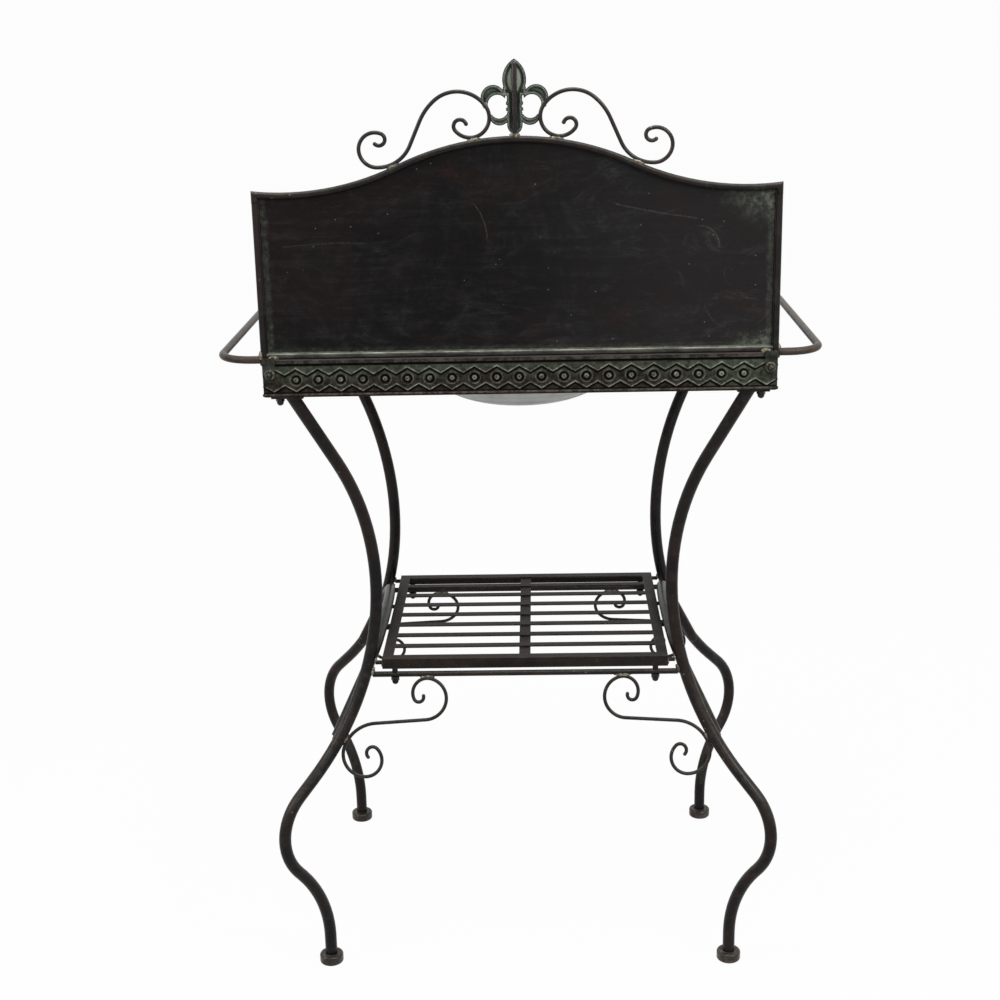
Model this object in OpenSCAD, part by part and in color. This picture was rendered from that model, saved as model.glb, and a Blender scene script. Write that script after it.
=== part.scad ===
// Iron wash basin stand with a scrolled splashback, towel rails, a slatted shelf
// and a lift-out zinc basin. Millimetres, +Z up, the user stands on the -Y side.
// Origin on the floor, under the middle of the table.

/* [Table] */
// Width of the table over its aprons
table_w = 666; // [620:1:720]
// Depth of the table over its aprons
table_d = 492; // [470:1:540]
// Height of the table's top face above the floor
table_h = 896; // [860:1:930]
// Thickness of the sheet used for the table, aprons and splashback
sheet_t = 1.5; // [1:0.1:2.5]
// Height of the stiffened edge round the table's top
edge_h = 4.2; // [3:0.5:8]
// Width of that stiffened edge
edge_w = 8; // [6:0.5:12]

/* [Aprons] */
// Height of the embossed apron strips
apron_h = 44.3; // [38:0.5:50]
// Height of the hem along the bottom of each strip
hem_h = 4.7; // [3:0.1:6]
// Depth of the fold that turns inward at the bottom
fold_w = 14; // [10:0.5:18]
// How far the embossing stands out of the strip
relief = 1.2; // [0.8:0.1:1.8]
// Length of one embossed motif
motif_pitch = 29; // [24:0.5:40]
// Mean radius of the embossed ring
ring_r = 7.4; // [6:0.1:9]
// Radius of the boss inside the ring
boss_r = 4; // [2.5:0.1:4.5]
// Width of an embossed rib
rib_w = 2; // [1.4:0.1:2.6]
// How far each zigzag rib rises and falls
zigzag_h = 7.8; // [4:0.2:9]

/* [Splashback] */
// Height of the splashback's shoulders above the table
shoulder_h = 214; // [180:1:260]
// How much its crown rises above the shoulders
crown_rise = 64.3; // [50:1:74]
// Radius of the crown's convex and concave curves
crown_r = 350; // [330:1:370]
// Diameter of the round bar round the splashback
rim_d = 8; // [6:0.5:10]
// Diameter of the rolled bottom edge
roll_d = 7.6; // [6:0.2:10]
// Width of the two bolted straps
strap_w = 15.8; // [13:0.2:16]
// Thickness of the straps
strap_t = 3; // [2:0.5:4]
// Height of the straps
strap_h = 31.3; // [28:1:38]
// How far a strap's bolt lies from the end of the table
strap_bolt_inset = 10.5; // [10.2:0.1:11.5]
// How far a strap's bolt lies below the table's top face
strap_bolt_drop = 17.5; // [12:0.5:20]

/* [Crest] */
// Diameter of the scroll rod
scroll_d = 5; // [4:0.5:6]
// Where the crest's outer loop bears on the concave curve, from the upright
crest_seat = 24; // [23.4:0.1:24.4]
// Height of the finial above the crown
finial_h = 92; // [88:1:100]
// Thickness of the finial's plate
finial_t = 4; // [4:0.5:6]
// Diameter of the rib down the finial's middle
finial_rib_d = 6.5; // [5.5:0.25:8]

/* [Legs] */
// Outer diameter of the leg tube
leg_d = 17; // [15:0.5:19]
// Wall of the leg and arch tubes
tube_wall = 1.5; // [1:0.1:2.5]
// How far each leg's top stands in from the end of the table
leg_top_inset_x = 36.1; // [34:0.1:40]
// How far each leg's top stands in from the front or rear of the table
leg_top_inset_y = 18.6; // [18.2:0.1:24]
// Heading of each leg's bending plane, from the table's width
leg_heading = 36; // [34:0.5:38]
// Straight length of tube above the foot
leg_base = 42; // [30:1:60]
// Radius of the bend outward above the foot
ankle_r = 176; // [160:1:190]
// Radius of the bend back inward at the knee
knee_r = 84; // [70:1:95]
// Radius of the long bend through the waist
waist_r = 360; // [340:1:380]
// Diameter of the foot buttons
button_d = 34; // [28:1:40]
// Height of the foot buttons
button_h = 14; // [12:1:20]
// Side of the plates at the leg tops
pad_w = 42; // [38:1:46]
// Thickness of those plates
pad_t = 4; // [3:0.5:6]
// How far the plates stand in from the aprons' faces
pad_inset = 9; // [6:0.5:12]
// How far the leg bolts stand in from the aprons' faces
leg_bolt_inset = 19.2; // [18.6:0.2:20.4]
// Thickness of the corner gussets
gusset_t = 2.5; // [2:0.5:4]

/* [Fasteners] */
// Diameter of the bolts
bolt_d = 6; // [5:0.5:6]
// Width across the corners of the cap nuts
nut_w = 11.6; // [10.5:0.1:12]
// Overall height of the cap nuts
nut_h = 11; // [10:0.5:14]
// Diameter of the washers
washer_d = 13; // [12:0.5:15]
// Thickness of the washers
washer_t = 1.2; // [0.8:0.1:2]
// Clearance of each bolt in its hole, on the radius
bolt_gap = 0.2; // [0.1:0.05:0.5]

/* [Shelf] */
// Length of the pegs between the shelf frame and the legs
shelf_peg_l = 9.8; // [8:0.1:15]
// How far the shelf frame reaches past the middles of its crossbars
shelf_over = 2.9; // [1:0.1:5]
// Height of the shelf's top above the floor
shelf_h = 454; // [448:1:456]
// Side of the shelf's angle bar
angle_w = 15; // [12:0.5:18]
// Thickness of the angle bar, slats and strap
bar_t = 2; // [1.5:0.25:3]
// Number of slats
slat_count = 7; // [5:1:9]
// Width of a slat
slat_w = 12; // [10:0.5:18]
// Width of the strap under the slats
strap_under_w = 16; // [12:0.5:24]
// Diameter of the crossbars under the shelf
crossbar_d = 8; // [6:0.5:10]
// Height of the stand-offs between crossbar and shelf
standoff_h = 5; // [3:0.5:8]
// How far the shelf bolts stand in from the ends of the frame
shelf_bolt_inset = 17.5; // [13:0.5:30]
// Diameter of the shelf bolts
shelf_bolt_d = 4; // [3:0.5:4.5]
// Diameter of the pegs between frame, legs and arches
peg_d = 6; // [5:0.5:7]
// Distance of the arch pegs from the middle, front to back
arch_peg_y = 45; // [35:1:60]

/* [Side arches] */
// Outer diameter of the arch tube
arch_d = 16; // [14:0.5:17]
// Height of the arch pegs' middles below the shelf's top
arch_peg_drop = 4.2; // [3.5:0.1:6]
// Lean of each arch, outward towards its feet
arch_lean = 26; // [25:0.5:27]
// Straight length of each limb
limb_h = 80; // [70:1:90]
// Radius of the arch's shoulders
arch_shoulder_r = 70; // [60:1:80]
// Rise of the arch's shallow crown
arch_sag = 7.3; // [6.5:0.1:8]

/* [Towel rails] */
// Diameter of the rail rod
rail_d = 10; // [8:0.5:12]
// How far each rail's middle line stands out from the table
rail_out = 57; // [50:1:85]
// Radius of the rail's bends
rail_bend_r = 45; // [20:1:48]
// How far the front arm stands in from the front of the table
rail_front_inset = 46; // [25:1:65]
// How far a rail's middle lies above the table's top
rail_rise = 1; // [-1:0.1:2]

/* [Basin] */
// Radius of the basin's mouth
mouth_r = 172; // [150:1:185]
// Radius of its flat base
base_r = 65; // [50:1:85]
// Depth of the basin below the table's top face
basin_depth = 105.2; // [90:1:130]
// Slope of the wall where it leaves the base
base_slope = 8; // [4:1:20]
// Wall of the basin
basin_t = 1.2; // [0.8:0.1:2]
// Width of the rim that rests on the table
basin_rim_w = 19; // [15:1:26]
// Diameter of the rolled edge round the rim
bead_d = 5; // [4:0.5:7]
// Clearance between the basin and the table's hole
hole_gap = 3; // [2:0.5:5]

/* [Hidden] */
$fn = 64;

iron = "#2a2220";
worn_iron = "#4a3b33";
patina_iron = "#33362f";
zinc = "#b9bcbd";

// Gap between pieces that only bear on each other along a line
touch = 0.1;
// Gap between the lift-out basin and the table it rests on
rest_gap = 0.3;

// ---- bent bars: a run is a list of straights [length] and bends [radius, angle] ----
// A run starts at the origin heading up; a positive angle turns towards +X.
// State of a run: [x, z, heading], the heading measured from +Z towards +X.
function right_of(t) = [cos(t), -sin(t)];
function bend_centre(s, bend) = [s[0], s[1]] + sign(bend[1]) * bend[0] * right_of(s[2]);
function step(s, e) =
    len(e) == 1
    ? [s[0] + e[0] * sin(s[2]), s[1] + e[0] * cos(s[2]), s[2]]
    : let (c = bend_centre(s, e), p = c - sign(e[1]) * e[0] * right_of(s[2] + e[1]))
        [p[0], p[1], s[2] + e[1]];
function walk(run, count, s = [0, 0, 0], i = 0) =
    i == count ? s : walk(run, count, step(s, run[i]), i + 1);

// Each length stops just short of its neighbours, inside a slightly swollen round joint.
joint_swell_ratio = 1.012;
function joint_back(d) = 0.4 * d * sqrt(joint_swell_ratio ^ 2 - 1);

module bent_bar(run, d, i = 0) {
    e = run[i];
    after = step([0, 0, 0], e);
    low = i == 0 ? 0 : joint_back(d);
    high = i == len(run) - 1 ? 0 : joint_back(d);
    if (len(e) == 1) {
        translate([0, 0, low]) cylinder(d = d, h = e[0] - low - high);
    } else {
        low_turn = low / e[0] * 180 / PI;
        high_turn = high / e[0] * 180 / PI;
        turn = abs(e[1]) - low_turn - high_turn;
        rotate([0, 0, e[1] > 0 ? 0 : 180])
        translate([e[0], 0, 0])
        rotate([90, 0, 0])
        rotate_extrude(angle = turn, start = 180 - low_turn - turn)
        translate([e[0], 0])
        circle(d = d);
    }
    if (i < len(run) - 1)
        translate([after[0], 0, after[1]])
        rotate([0, after[2], 0]) {
            sphere(d = d * joint_swell_ratio);
            bent_bar(run, d, i + 1);
        }
}

// A bent tube: its run begins and ends straight, and its bore is open at both ends.
module bent_tube(run, d, wall) {
    spill = 1;
    last = len(run) - 1;
    difference() {
        bent_bar(run, d);
        translate([0, 0, -spill])
        bent_bar([for (i = [0 : last])
            i == 0 || i == last ? [run[i][0] + spill] : run[i]], d - 2 * wall);
    }
}

// ---- places shared by several pieces ----
module at_side(side) mirror([side < 0 ? 1 : 0, 0, 0]) children();
module at_end(end) mirror([0, end < 0 ? 1 : 0, 0]) children();
module at_corner(side, end) at_side(side) at_end(end) children();
module both_sides() for (side = [-1, 1]) at_side(side) children();
module four_corners() for (side = [-1, 1], end = [-1, 1]) at_corner(side, end) children();

apron_top = table_h - edge_h;
apron_bottom = apron_top - apron_h;
web_back = relief + sheet_t;
pad_z = apron_bottom - pad_t;
leg_r = leg_d / 2;
arch_r = arch_d / 2;
peg_r = peg_d / 2;
rim_r = rim_d / 2;
scroll_r = scroll_d / 2;

// The legs' bends, from the foot up
ankle_bend = 39;
knee_bend = 86.5;
waist_bend = 79;
shin_h = 8;
thigh_h = 28;
socket_z = 6;
leg_bends = [
    [leg_base - socket_z], [ankle_r, ankle_bend], [shin_h], [knee_r, -knee_bend],
    [thigh_h], [waist_r, waist_bend]
];
leg_start = [0, socket_z, 0];
leg_shoulder = walk(leg_bends, len(leg_bends), leg_start);
leg_rise = pad_z - leg_shoulder[1] + leg_d;
leg_run = concat(leg_bends, [[leg_rise / cos(leg_shoulder[2])]]);
// How far the leg's top leans out past its foot, which finds the foot's place
leg_lean = leg_shoulder[0] + (pad_z - leg_shoulder[1]) * tan(leg_shoulder[2]);
foot_x = table_w / 2 - leg_top_inset_x - leg_lean * cos(leg_heading);
foot_y = table_d / 2 - leg_top_inset_y - leg_lean * sin(leg_heading);
// State of the leg where the thigh ends and the waist bend begins
leg_thigh = walk(leg_bends, 5, leg_start);
waist_c = bend_centre(leg_thigh, leg_bends[5]);
// Heading and place of a leg's middle at a height within the waist bend
function waist_heading(z) = asin((z - waist_c[1]) / waist_r);
function waist_out(z) = waist_c[0] - waist_r * cos(waist_heading(z));
function leg_x(z) = foot_x + waist_out(z) * cos(leg_heading);
function leg_y(z) = foot_y + waist_out(z) * sin(leg_heading);
// Inner face of a leg where a level rod of radius r meets it
function leg_face(z, r) = leg_x(z + r) - leg_r / cos(waist_heading(z + r)) - touch;

// ---- table ----
hole_r = mouth_r + basin_t + hole_gap;

module tabletop() color(iron) {
    difference() {
        translate([-table_w / 2, -table_d / 2, apron_top]) cube([table_w, table_d, edge_h]);
        translate([edge_w - table_w / 2, edge_w - table_d / 2, apron_top - 1])
            cube([table_w - 2 * edge_w, table_d - 2 * edge_w, edge_h - sheet_t + 1]);
        translate([0, 0, apron_top - 1]) cylinder(r = hole_r, h = edge_h + 2);
    }
}

// One apron, lying along X with its embossed face towards +Y at y = 0
motif_z = apron_bottom + 22.7;
zigzag_gap = 7.4;
module zigzag(count, pitch, z, direction) {
    tops = [for (i = [0 : 2 * count])
        [(i - count) * pitch / 2, z + (i % 2 == 1 ? direction * zigzag_h : 0)]];
    lows = [for (i = [2 * count : -1 : 0]) tops[i] - [0, direction * rib_w]];
    translate([0, -relief - sheet_t / 2, 0])
    rotate([-90, 0, 0])
    mirror([0, 1, 0])
    linear_extrude(relief + sheet_t / 2)
    polygon(concat(tops, lows));
}

module motif() {
    translate([0, -relief - sheet_t / 2, 0])
    rotate([-90, 0, 0]) {
        cylinder(r1 = boss_r + 0.6, r2 = boss_r - 1, h = relief + sheet_t / 2);
        rotate_extrude()
        polygon([
            [ring_r - rib_w / 2, 0], [ring_r + rib_w / 2, 0],
            [ring_r + rib_w / 4, relief + sheet_t / 2],
            [ring_r - rib_w / 4, relief + sheet_t / 2]
        ]);
    }
}

module apron(length, bare_ends = 0) color(patina_iron) {
    count = round(length / motif_pitch);
    pitch = length / count;
    intersection() {
        union() {
            rotate([90, 0, 90])
            linear_extrude(length, center = true)
            polygon([
                [-relief, apron_top], [-web_back, apron_top],
                [-web_back, apron_bottom + sheet_t], [-fold_w, apron_bottom + sheet_t],
                [-fold_w, apron_bottom], [0, apron_bottom], [0, apron_bottom + hem_h],
                [-relief, apron_bottom + hem_h]
            ]);
            for (i = [bare_ends : count - 1 - bare_ends])
                translate([(i - (count - 1) / 2) * pitch, 0, motif_z]) motif();
            zigzag(count, pitch, motif_z + zigzag_gap, 1);
            zigzag(count, pitch, motif_z - zigzag_gap + 1, -1);
        }
        translate([0, 0, apron_bottom - 1])
        linear_extrude(apron_h + 2)
        polygon([
            [-length / 2, 0], [length / 2, 0],
            [length / 2 - 2 * fold_w, -2 * fold_w], [2 * fold_w - length / 2, -2 * fold_w]
        ]);
    }
}

bolt_hole_r = bolt_d / 2 + bolt_gap;
strap_bolt_x = table_w / 2 - strap_bolt_inset;
strap_bolt_z = table_h - strap_bolt_drop;
module strap_bolt_axis() {
    both_sides() translate([strap_bolt_x, 0, strap_bolt_z]) rotate([-90, 0, 0]) children();
}

module apron_front() rotate([0, 0, 180]) translate([0, table_d / 2, 0]) apron(table_w);
module apron_back() {
    color(patina_iron)
    difference() {
        translate([0, table_d / 2, 0]) apron(table_w, 1);
        strap_bolt_axis() cylinder(r = bolt_hole_r, h = table_d);
    }
}
module apron_left() rotate([0, 0, 90]) translate([0, table_w / 2, 0]) apron(table_d);
module apron_right() rotate([0, 0, -90]) translate([0, table_w / 2, 0]) apron(table_d);

gusset_z = apron_bottom + sheet_t;
gusset_margin = 6;
gusset_w = pad_w + gusset_margin;
leg_bolt_x = table_w / 2 - leg_bolt_inset;
leg_bolt_y = table_d / 2 - leg_bolt_inset;
module corner_plate(inset, side, z, thickness) {
    difference() {
        translate([table_w / 2 - inset - side, table_d / 2 - inset - side, z])
            cube([side, side, thickness]);
        translate([leg_bolt_x, leg_bolt_y, z - 1])
            cylinder(r = bolt_hole_r, h = thickness + 2);
    }
}
module corner_gussets() {
    color(iron)
    four_corners() corner_plate(web_back + rest_gap, gusset_w, gusset_z, gusset_t);
}
module leg_pads() color(iron) four_corners() corner_plate(pad_inset, pad_w, pad_z, pad_t);

// ---- fasteners: each points along +Z, its bearing face at the origin ----
module cap_nut(bore_d) {
    hex_h = nut_h * 0.45;
    dome_r = nut_w * 0.4;
    difference() {
        union() {
            cylinder(d = nut_w, h = hex_h, $fn = 6);
            cylinder(r = dome_r, h = nut_h - dome_r);
            translate([0, 0, nut_h - dome_r]) sphere(r = dome_r);
        }
        translate([0, 0, -1]) cylinder(d = bore_d + 2 * bolt_gap, h = nut_h * 0.7 + 1);
    }
}
module bolt(grip) {
    translate([0, 0, -bolt_d * 0.6]) cylinder(d = bolt_d * 1.7, h = bolt_d * 0.6, $fn = 6);
    cylinder(d = bolt_d, h = grip + nut_h * 0.6);
}

module leg_bolts() {
    color(iron)
    four_corners()
    translate([leg_bolt_x, leg_bolt_y, gusset_z + gusset_t])
    rotate([180, 0, 0])
    bolt(gusset_z + gusset_t - pad_z);
}
module leg_nuts() {
    color(iron)
    four_corners()
    translate([leg_bolt_x, leg_bolt_y, pad_z])
    rotate([180, 0, 0])
    cap_nut(bolt_d);
}

strap_y = table_d / 2;
module strap_bolts() {
    color(iron)
    strap_bolt_axis()
    translate([0, 0, strap_y - web_back])
    bolt(web_back + strap_t + washer_t);
}
module strap_washers() {
    color(worn_iron)
    strap_bolt_axis()
    translate([0, 0, strap_y + strap_t])
    difference() {
        cylinder(d = washer_d, h = washer_t);
        translate([0, 0, -1]) cylinder(r = bolt_hole_r, h = washer_t + 2);
    }
}
module strap_nuts() {
    color(worn_iron)
    strap_bolt_axis()
    translate([0, 0, strap_y + strap_t + washer_t])
    cap_nut(bolt_d);
}

// ---- splashback, with its round bar against the rear edge of the table ----
rim_y = table_d / 2 - rim_r;
rim_x = table_w / 2 - rim_r;
shoulder_z = table_h + shoulder_h - rim_r;
crown_z = shoulder_z + crown_rise;
crown_bend = acos(1 - crown_rise / (2 * crown_r));
crown_c = [0, crown_z - crown_r];
hollow_c = [2 * crown_r * sin(crown_bend), shoulder_z + crown_r];
// The hollow curve runs on past its lowest point and rises a little to the corner
corner_bend = asin((rim_x - hollow_c[0]) / crown_r);
corner_z = hollow_c[1] - crown_r * cos(corner_bend);
roll_z = table_h + 1 + roll_d / 2;

module splash_rim() color(worn_iron) {
    upright_h = corner_z - table_h;
    both_sides() translate([rim_x, rim_y, table_h]) {
        cylinder(d = rim_d, h = upright_h - joint_back(rim_d));
        translate([0, 0, upright_h]) sphere(d = rim_d * joint_swell_ratio);
    }
    translate([-rim_x, rim_y, corner_z])
    rotate([0, 90 + corner_bend, 0])
    bent_bar([
        [crown_r, -crown_bend - corner_bend], [crown_r, 2 * crown_bend],
        [crown_r, -crown_bend - corner_bend]
    ], rim_d);
}

// Points along the splashback's top curve, drop below the middle of its bar
function hollow_points(drop, side, order) = [for (i = order)
    let (edge = asin((rim_x - rim_r - hollow_c[0]) / (crown_r + drop)))
    let (a = (crown_bend + edge) * i / 14 - edge)
    [side * (hollow_c[0] - (crown_r + drop) * sin(a)), hollow_c[1] - (crown_r + drop) * cos(a)]];
function crown_points(drop) = [for (i = [-12 : 12])
    let (a = crown_bend * i / 12)
    crown_c + (crown_r - drop) * [sin(a), cos(a)]];

module splash_sheet() color(iron) {
    sheet_y = rim_y - 2 * sheet_t;
    half_w = rim_x - rim_r;
    foot_z = roll_z + roll_d / 2;
    translate([0, sheet_y + sheet_t, 0])
    rotate([90, 0, 0])
    linear_extrude(sheet_t)
    polygon(concat(
        [[half_w, foot_z]],
        hollow_points(rim_r, 1, [0 : 13]),
        [for (p = crown_points(rim_r)) [-p[0], p[1]]],
        hollow_points(rim_r, -1, [13 : -1 : 0]),
        [[-half_w, foot_z]]
    ));
}
module splash_roll() color(worn_iron) {
    half_w = rim_x - rim_r;
    translate([-half_w, table_d / 2 - roll_d / 2, roll_z])
        rotate([0, 90, 0]) cylinder(d = roll_d, h = 2 * half_w);
}
module splash_straps() {
    strap_rise = 3.3;
    strap_inset = 1.7;
    round_z = table_h + strap_rise - strap_h + strap_w / 2;
    color(worn_iron)
    difference() {
        both_sides() translate([table_w / 2 - strap_inset - strap_w, strap_y, round_z]) {
            cube([strap_w, strap_t, strap_h - strap_w / 2]);
            translate([strap_w / 2, 0, 0])
            rotate([-90, 0, 0])
            cylinder(d = strap_w, h = strap_t);
        }
        strap_bolt_axis() cylinder(r = bolt_hole_r, h = table_d);
    }
}

// ---- crest: each scroll bears on the bar at its outer loop and its inner curl ----
crest_tip_r = 7.5;
crest_loop_r = 44;
crest_curl_r = 24;
crest_run = [
    [crest_tip_r, -198], [20.5, -121], [22.5, -79], [crest_loop_r, -69], [32], [70, 26],
    [43.5, 93], [crest_curl_r, 178], [8, 197]
];
crest_loop_c = bend_centre(walk(crest_run, 3), crest_run[3]);
crest_curl_c = bend_centre(walk(crest_run, 7), crest_run[7]);
bar_gap = rim_r + scroll_r + touch;
crest_span = norm(crest_curl_c - crest_loop_c);
// The loop's middle stands inside the hollow curve, the curl's outside the crown
loop_seat = [-hollow_c[0], hollow_c[1]]
    + (crown_r - bar_gap - crest_loop_r) * [sin(crest_seat), -cos(crest_seat)];
curl_reach = crown_r + bar_gap + crest_curl_r;
to_crown = crown_c - loop_seat;
crown_dist = norm(to_crown);
curl_turn = acos((crest_span ^ 2 + crown_dist ^ 2 - curl_reach ^ 2)
    / (2 * crest_span * crown_dist));
curl_angle = atan2(to_crown[1], to_crown[0]) + curl_turn;
run_angle = atan2(crest_curl_c[1] - crest_loop_c[1], crest_curl_c[0] - crest_loop_c[0]);

module crest_scroll() {
    color(worn_iron)
    translate([loop_seat[0], rim_y, loop_seat[1]])
    rotate([0, run_angle - curl_angle, 0])
    translate([-crest_loop_c[0], 0, -crest_loop_c[1]])
    bent_bar(crest_run, scroll_d);
}
module crest_scroll_left() crest_scroll();
module crest_scroll_right() mirror([1, 0, 0]) crest_scroll();

// ---- finial: a fleur-de-lis cut from plate, standing on the crown ----
// Half of its outline, in the proportions of a finial 92 mm high
outline_h = 92;
module lens(out, z, r) {
    intersection() {
        translate([-out, z]) circle(r = r);
        translate([out, z]) circle(r = r);
        square([r, outline_h]);
    }
}
module finial_half() {
    // Middle petal with its point, and the tail with its stub
    lens(14, 67, 28.7);
    lens(3, 13, 12.6);
    square([4, 6]);
    difference() {
        union() {
            // Side petal, hook and neck
            intersection() {
                translate([26.5, 46]) circle(r = 15.2);
                translate([0, 36.5]) square([outline_h, outline_h]);
            }
            intersection() {
                translate([18.8, 25.5]) circle(r = 13.3);
                square([outline_h, 25.5]);
            }
            translate([0, 12]) square([9.5, 48]);
            translate([0, 48]) square([14.2, 10.4]);
        }
        // Eye between petal, hook and neck
        hull() {
            translate([21.2, 37.3]) circle(r = 11.9);
            translate([19.3, 31.2]) circle(r = 10.6);
        }
        translate([30, 25.4]) square([outline_h, 11.2]);
    }
    // Bands round the neck
    translate([0, 36.8]) square([10.6, 4]);
    translate([0, 29.6]) square([10.6, 4]);
}
// Its plate stands in front of the scrolls, which bear on its side petals
module finial() color(patina_iron) {
    rib_r = finial_rib_d / 2;
    translate([0, rim_y, crown_z + rim_r + touch]) {
        translate([0, -scroll_r - touch, 0])
        rotate([90, 0, 0])
        linear_extrude(finial_t)
        scale(finial_h / outline_h) {
            finial_half();
            mirror([1, 0]) finial_half();
        }
        translate([0, 0, rib_r]) {
            cylinder(r = rib_r, h = finial_h - 3 * rib_r);
            sphere(r = rib_r);
            translate([0, 0, finial_h - 3 * rib_r]) sphere(r = rib_r);
        }
    }
}

// ---- basin: one pressed bowl whose rim rests on the table ----
chord = [mouth_r - base_r, basin_depth];
chord_slope = atan2(chord[1], chord[0]);
bowl_r = norm(chord) / (2 * sin(chord_slope - base_slope));
bowl_c = [base_r - bowl_r * sin(base_slope), bowl_r * cos(base_slope) - basin_depth];

module bowl_section() {
    // Curved wall between the base and the mouth
    intersection() {
        difference() {
            translate(bowl_c) circle(r = bowl_r + basin_t, $fn = 128);
            translate(bowl_c) circle(r = bowl_r, $fn = 128);
        }
        translate([base_r, -basin_depth - basin_t]) square([mouth_r, basin_depth + basin_t]);
    }
    translate([0, -basin_depth - basin_t * 1.1]) square([base_r + basin_t, basin_t]);
    // Rim and its rolled edge
    translate([mouth_r - 0.5, 0]) square([basin_rim_w, basin_t]);
    translate([mouth_r + basin_rim_w, bead_d / 2]) circle(d = bead_d);
}
module basin() {
    color(zinc)
    translate([0, 0, table_h + rest_gap])
    rotate_extrude($fn = 128)
    bowl_section();
}

// ---- legs and feet ----
module leg() color(iron) {
    difference() {
        translate([foot_x, foot_y, socket_z])
        rotate([0, 0, leg_heading])
        bent_tube(leg_run, leg_d, tube_wall);
        translate([0, 0, pad_z]) cube([table_w, table_w, 2 * leg_d]);
    }
}
module leg_front_left() at_corner(-1, -1) leg();
module leg_front_right() at_corner(1, -1) leg();
module leg_back_left() at_corner(-1, 1) leg();
module leg_back_right() at_corner(1, 1) leg();

module foot() {
    round_r = 3;
    flat_r = button_d / 2 - round_r;
    color(iron)
    translate([foot_x, foot_y, 0])
    difference() {
        rotate_extrude() {
            square([flat_r, button_h]);
            translate([0, round_r]) square([button_d / 2, button_h - 2 * round_r]);
            translate([flat_r, round_r]) circle(r = round_r);
            translate([flat_r, button_h - round_r]) circle(r = round_r);
        }
        translate([0, 0, socket_z]) cylinder(d = leg_d + 2 * touch, h = button_h);
    }
}
module foot_front_left() at_corner(-1, -1) foot();
module foot_front_right() at_corner(1, -1) foot();
module foot_back_left() at_corner(-1, 1) foot();
module foot_back_right() at_corner(1, 1) foot();

// ---- side arches: an inverted U in a plane that leans out towards its feet ----
limb_tilt = 17;
crown_half_bend = 8;
shoulder_bend = 90 - limb_tilt - crown_half_bend;
shoulder_out = arch_shoulder_r * (cos(limb_tilt) - sin(crown_half_bend));
shoulder_down = arch_shoulder_r * (cos(crown_half_bend) - sin(limb_tilt));
arch_down = limb_h * cos(limb_tilt) + shoulder_down + arch_sag;
// The pegs carry the crown, and the limbs' ends lie just inside the legs
arch_peg_z = shelf_h - arch_peg_drop;
arch_h = arch_peg_z + peg_r + arch_r + touch
    + arch_peg_y ^ 2 * (1 - cos(crown_half_bend)) / (2 * arch_sag) * cos(arch_lean);
limb_end_z = arch_h - arch_down * cos(arch_lean);
limb_aside = 1.065 * (leg_r + arch_r);
limb_outside = 0.22 * (leg_r + arch_r);
arch_half = leg_y(limb_end_z) - limb_aside;
arch_x = leg_x(limb_end_z) + limb_outside - arch_down * sin(arch_lean);
arch_crown_r = (arch_half - limb_h * sin(limb_tilt) - shoulder_out) / sin(crown_half_bend);
arch_run = [
    [limb_h], [arch_shoulder_r, shoulder_bend], [arch_crown_r, 2 * crown_half_bend],
    [arch_shoulder_r, shoulder_bend], [limb_h]
];
arch_rise = arch_down - arch_sag + arch_crown_r * (1 - cos(crown_half_bend));

// Puts local X along the arch's span and local Z up its plane, crown at the origin
module arch_plane() {
    translate([arch_x, 0, arch_h]) rotate([0, -arch_lean, 0]) rotate([0, 0, 90]) children();
}
// Both ends of an arch: local +Z runs up the limb, local +X towards mid-span
module arch_limb_ends() {
    arch_plane()
    for (end = [-1, 1])
        mirror([end < 0 ? 1 : 0, 0, 0])
        translate([-arch_half, 0, -arch_rise])
        rotate([0, limb_tilt, 0])
        children();
}
module arch() {
    color(iron)
    arch_plane()
    translate([-arch_half, 0, -arch_rise])
    rotate([0, limb_tilt, 0])
    bent_tube(arch_run, arch_d, tube_wall);
}
module arch_left() at_side(-1) arch();
module arch_right() arch();

lug_t = 3;
lug_heading = 163;
lug_reach = 8.6;
module arch_lugs() {
    color(iron)
    both_sides() arch_limb_ends()
    difference() {
        union() {
            translate([0, 0, -lug_t]) cylinder(d = arch_d, h = lug_t);
            rotate([0, 0, lug_heading])
            translate([0, -arch_r * 0.7, -lug_t])
                cube([lug_reach, arch_r * 1.4, lug_t]);
        }
        translate([0, 0, -lug_t - 1]) cylinder(r = bolt_hole_r, h = lug_t + 2);
    }
}
module arch_studs() {
    plug_h = 10;
    color(iron)
    both_sides() arch_limb_ends() {
        cylinder(d = arch_d - 2 * tube_wall - 2 * touch, h = plug_h);
        translate([0, 0, -lug_t - nut_h * 0.6]) cylinder(d = bolt_d, h = lug_t + nut_h * 0.6);
    }
}
module arch_nuts() {
    color(iron)
    both_sides() arch_limb_ends()
    translate([0, 0, -lug_t])
    rotate([180, 0, 0])
    cap_nut(bolt_d);
}

// ---- shelf ----
crossbar_r = crossbar_d / 2;
shelf_bottom = shelf_h - angle_w;
crossbar_z = shelf_bottom - standoff_h - crossbar_r;
crossbar_y = leg_y(crossbar_z);
shelf_peg_z = shelf_h - angle_w / 2;
shelf_w = 2 * (leg_face(shelf_peg_z, peg_r) - shelf_peg_l);
shelf_d = 2 * (crossbar_y + shelf_over);
shelf_bolt_x = shelf_w / 2 - shelf_bolt_inset;
stud_hole_r = shelf_bolt_d / 2 + bolt_gap;
module shelf_bolt_axis(z) {
    four_corners() translate([shelf_bolt_x, crossbar_y, z]) children();
}

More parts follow.
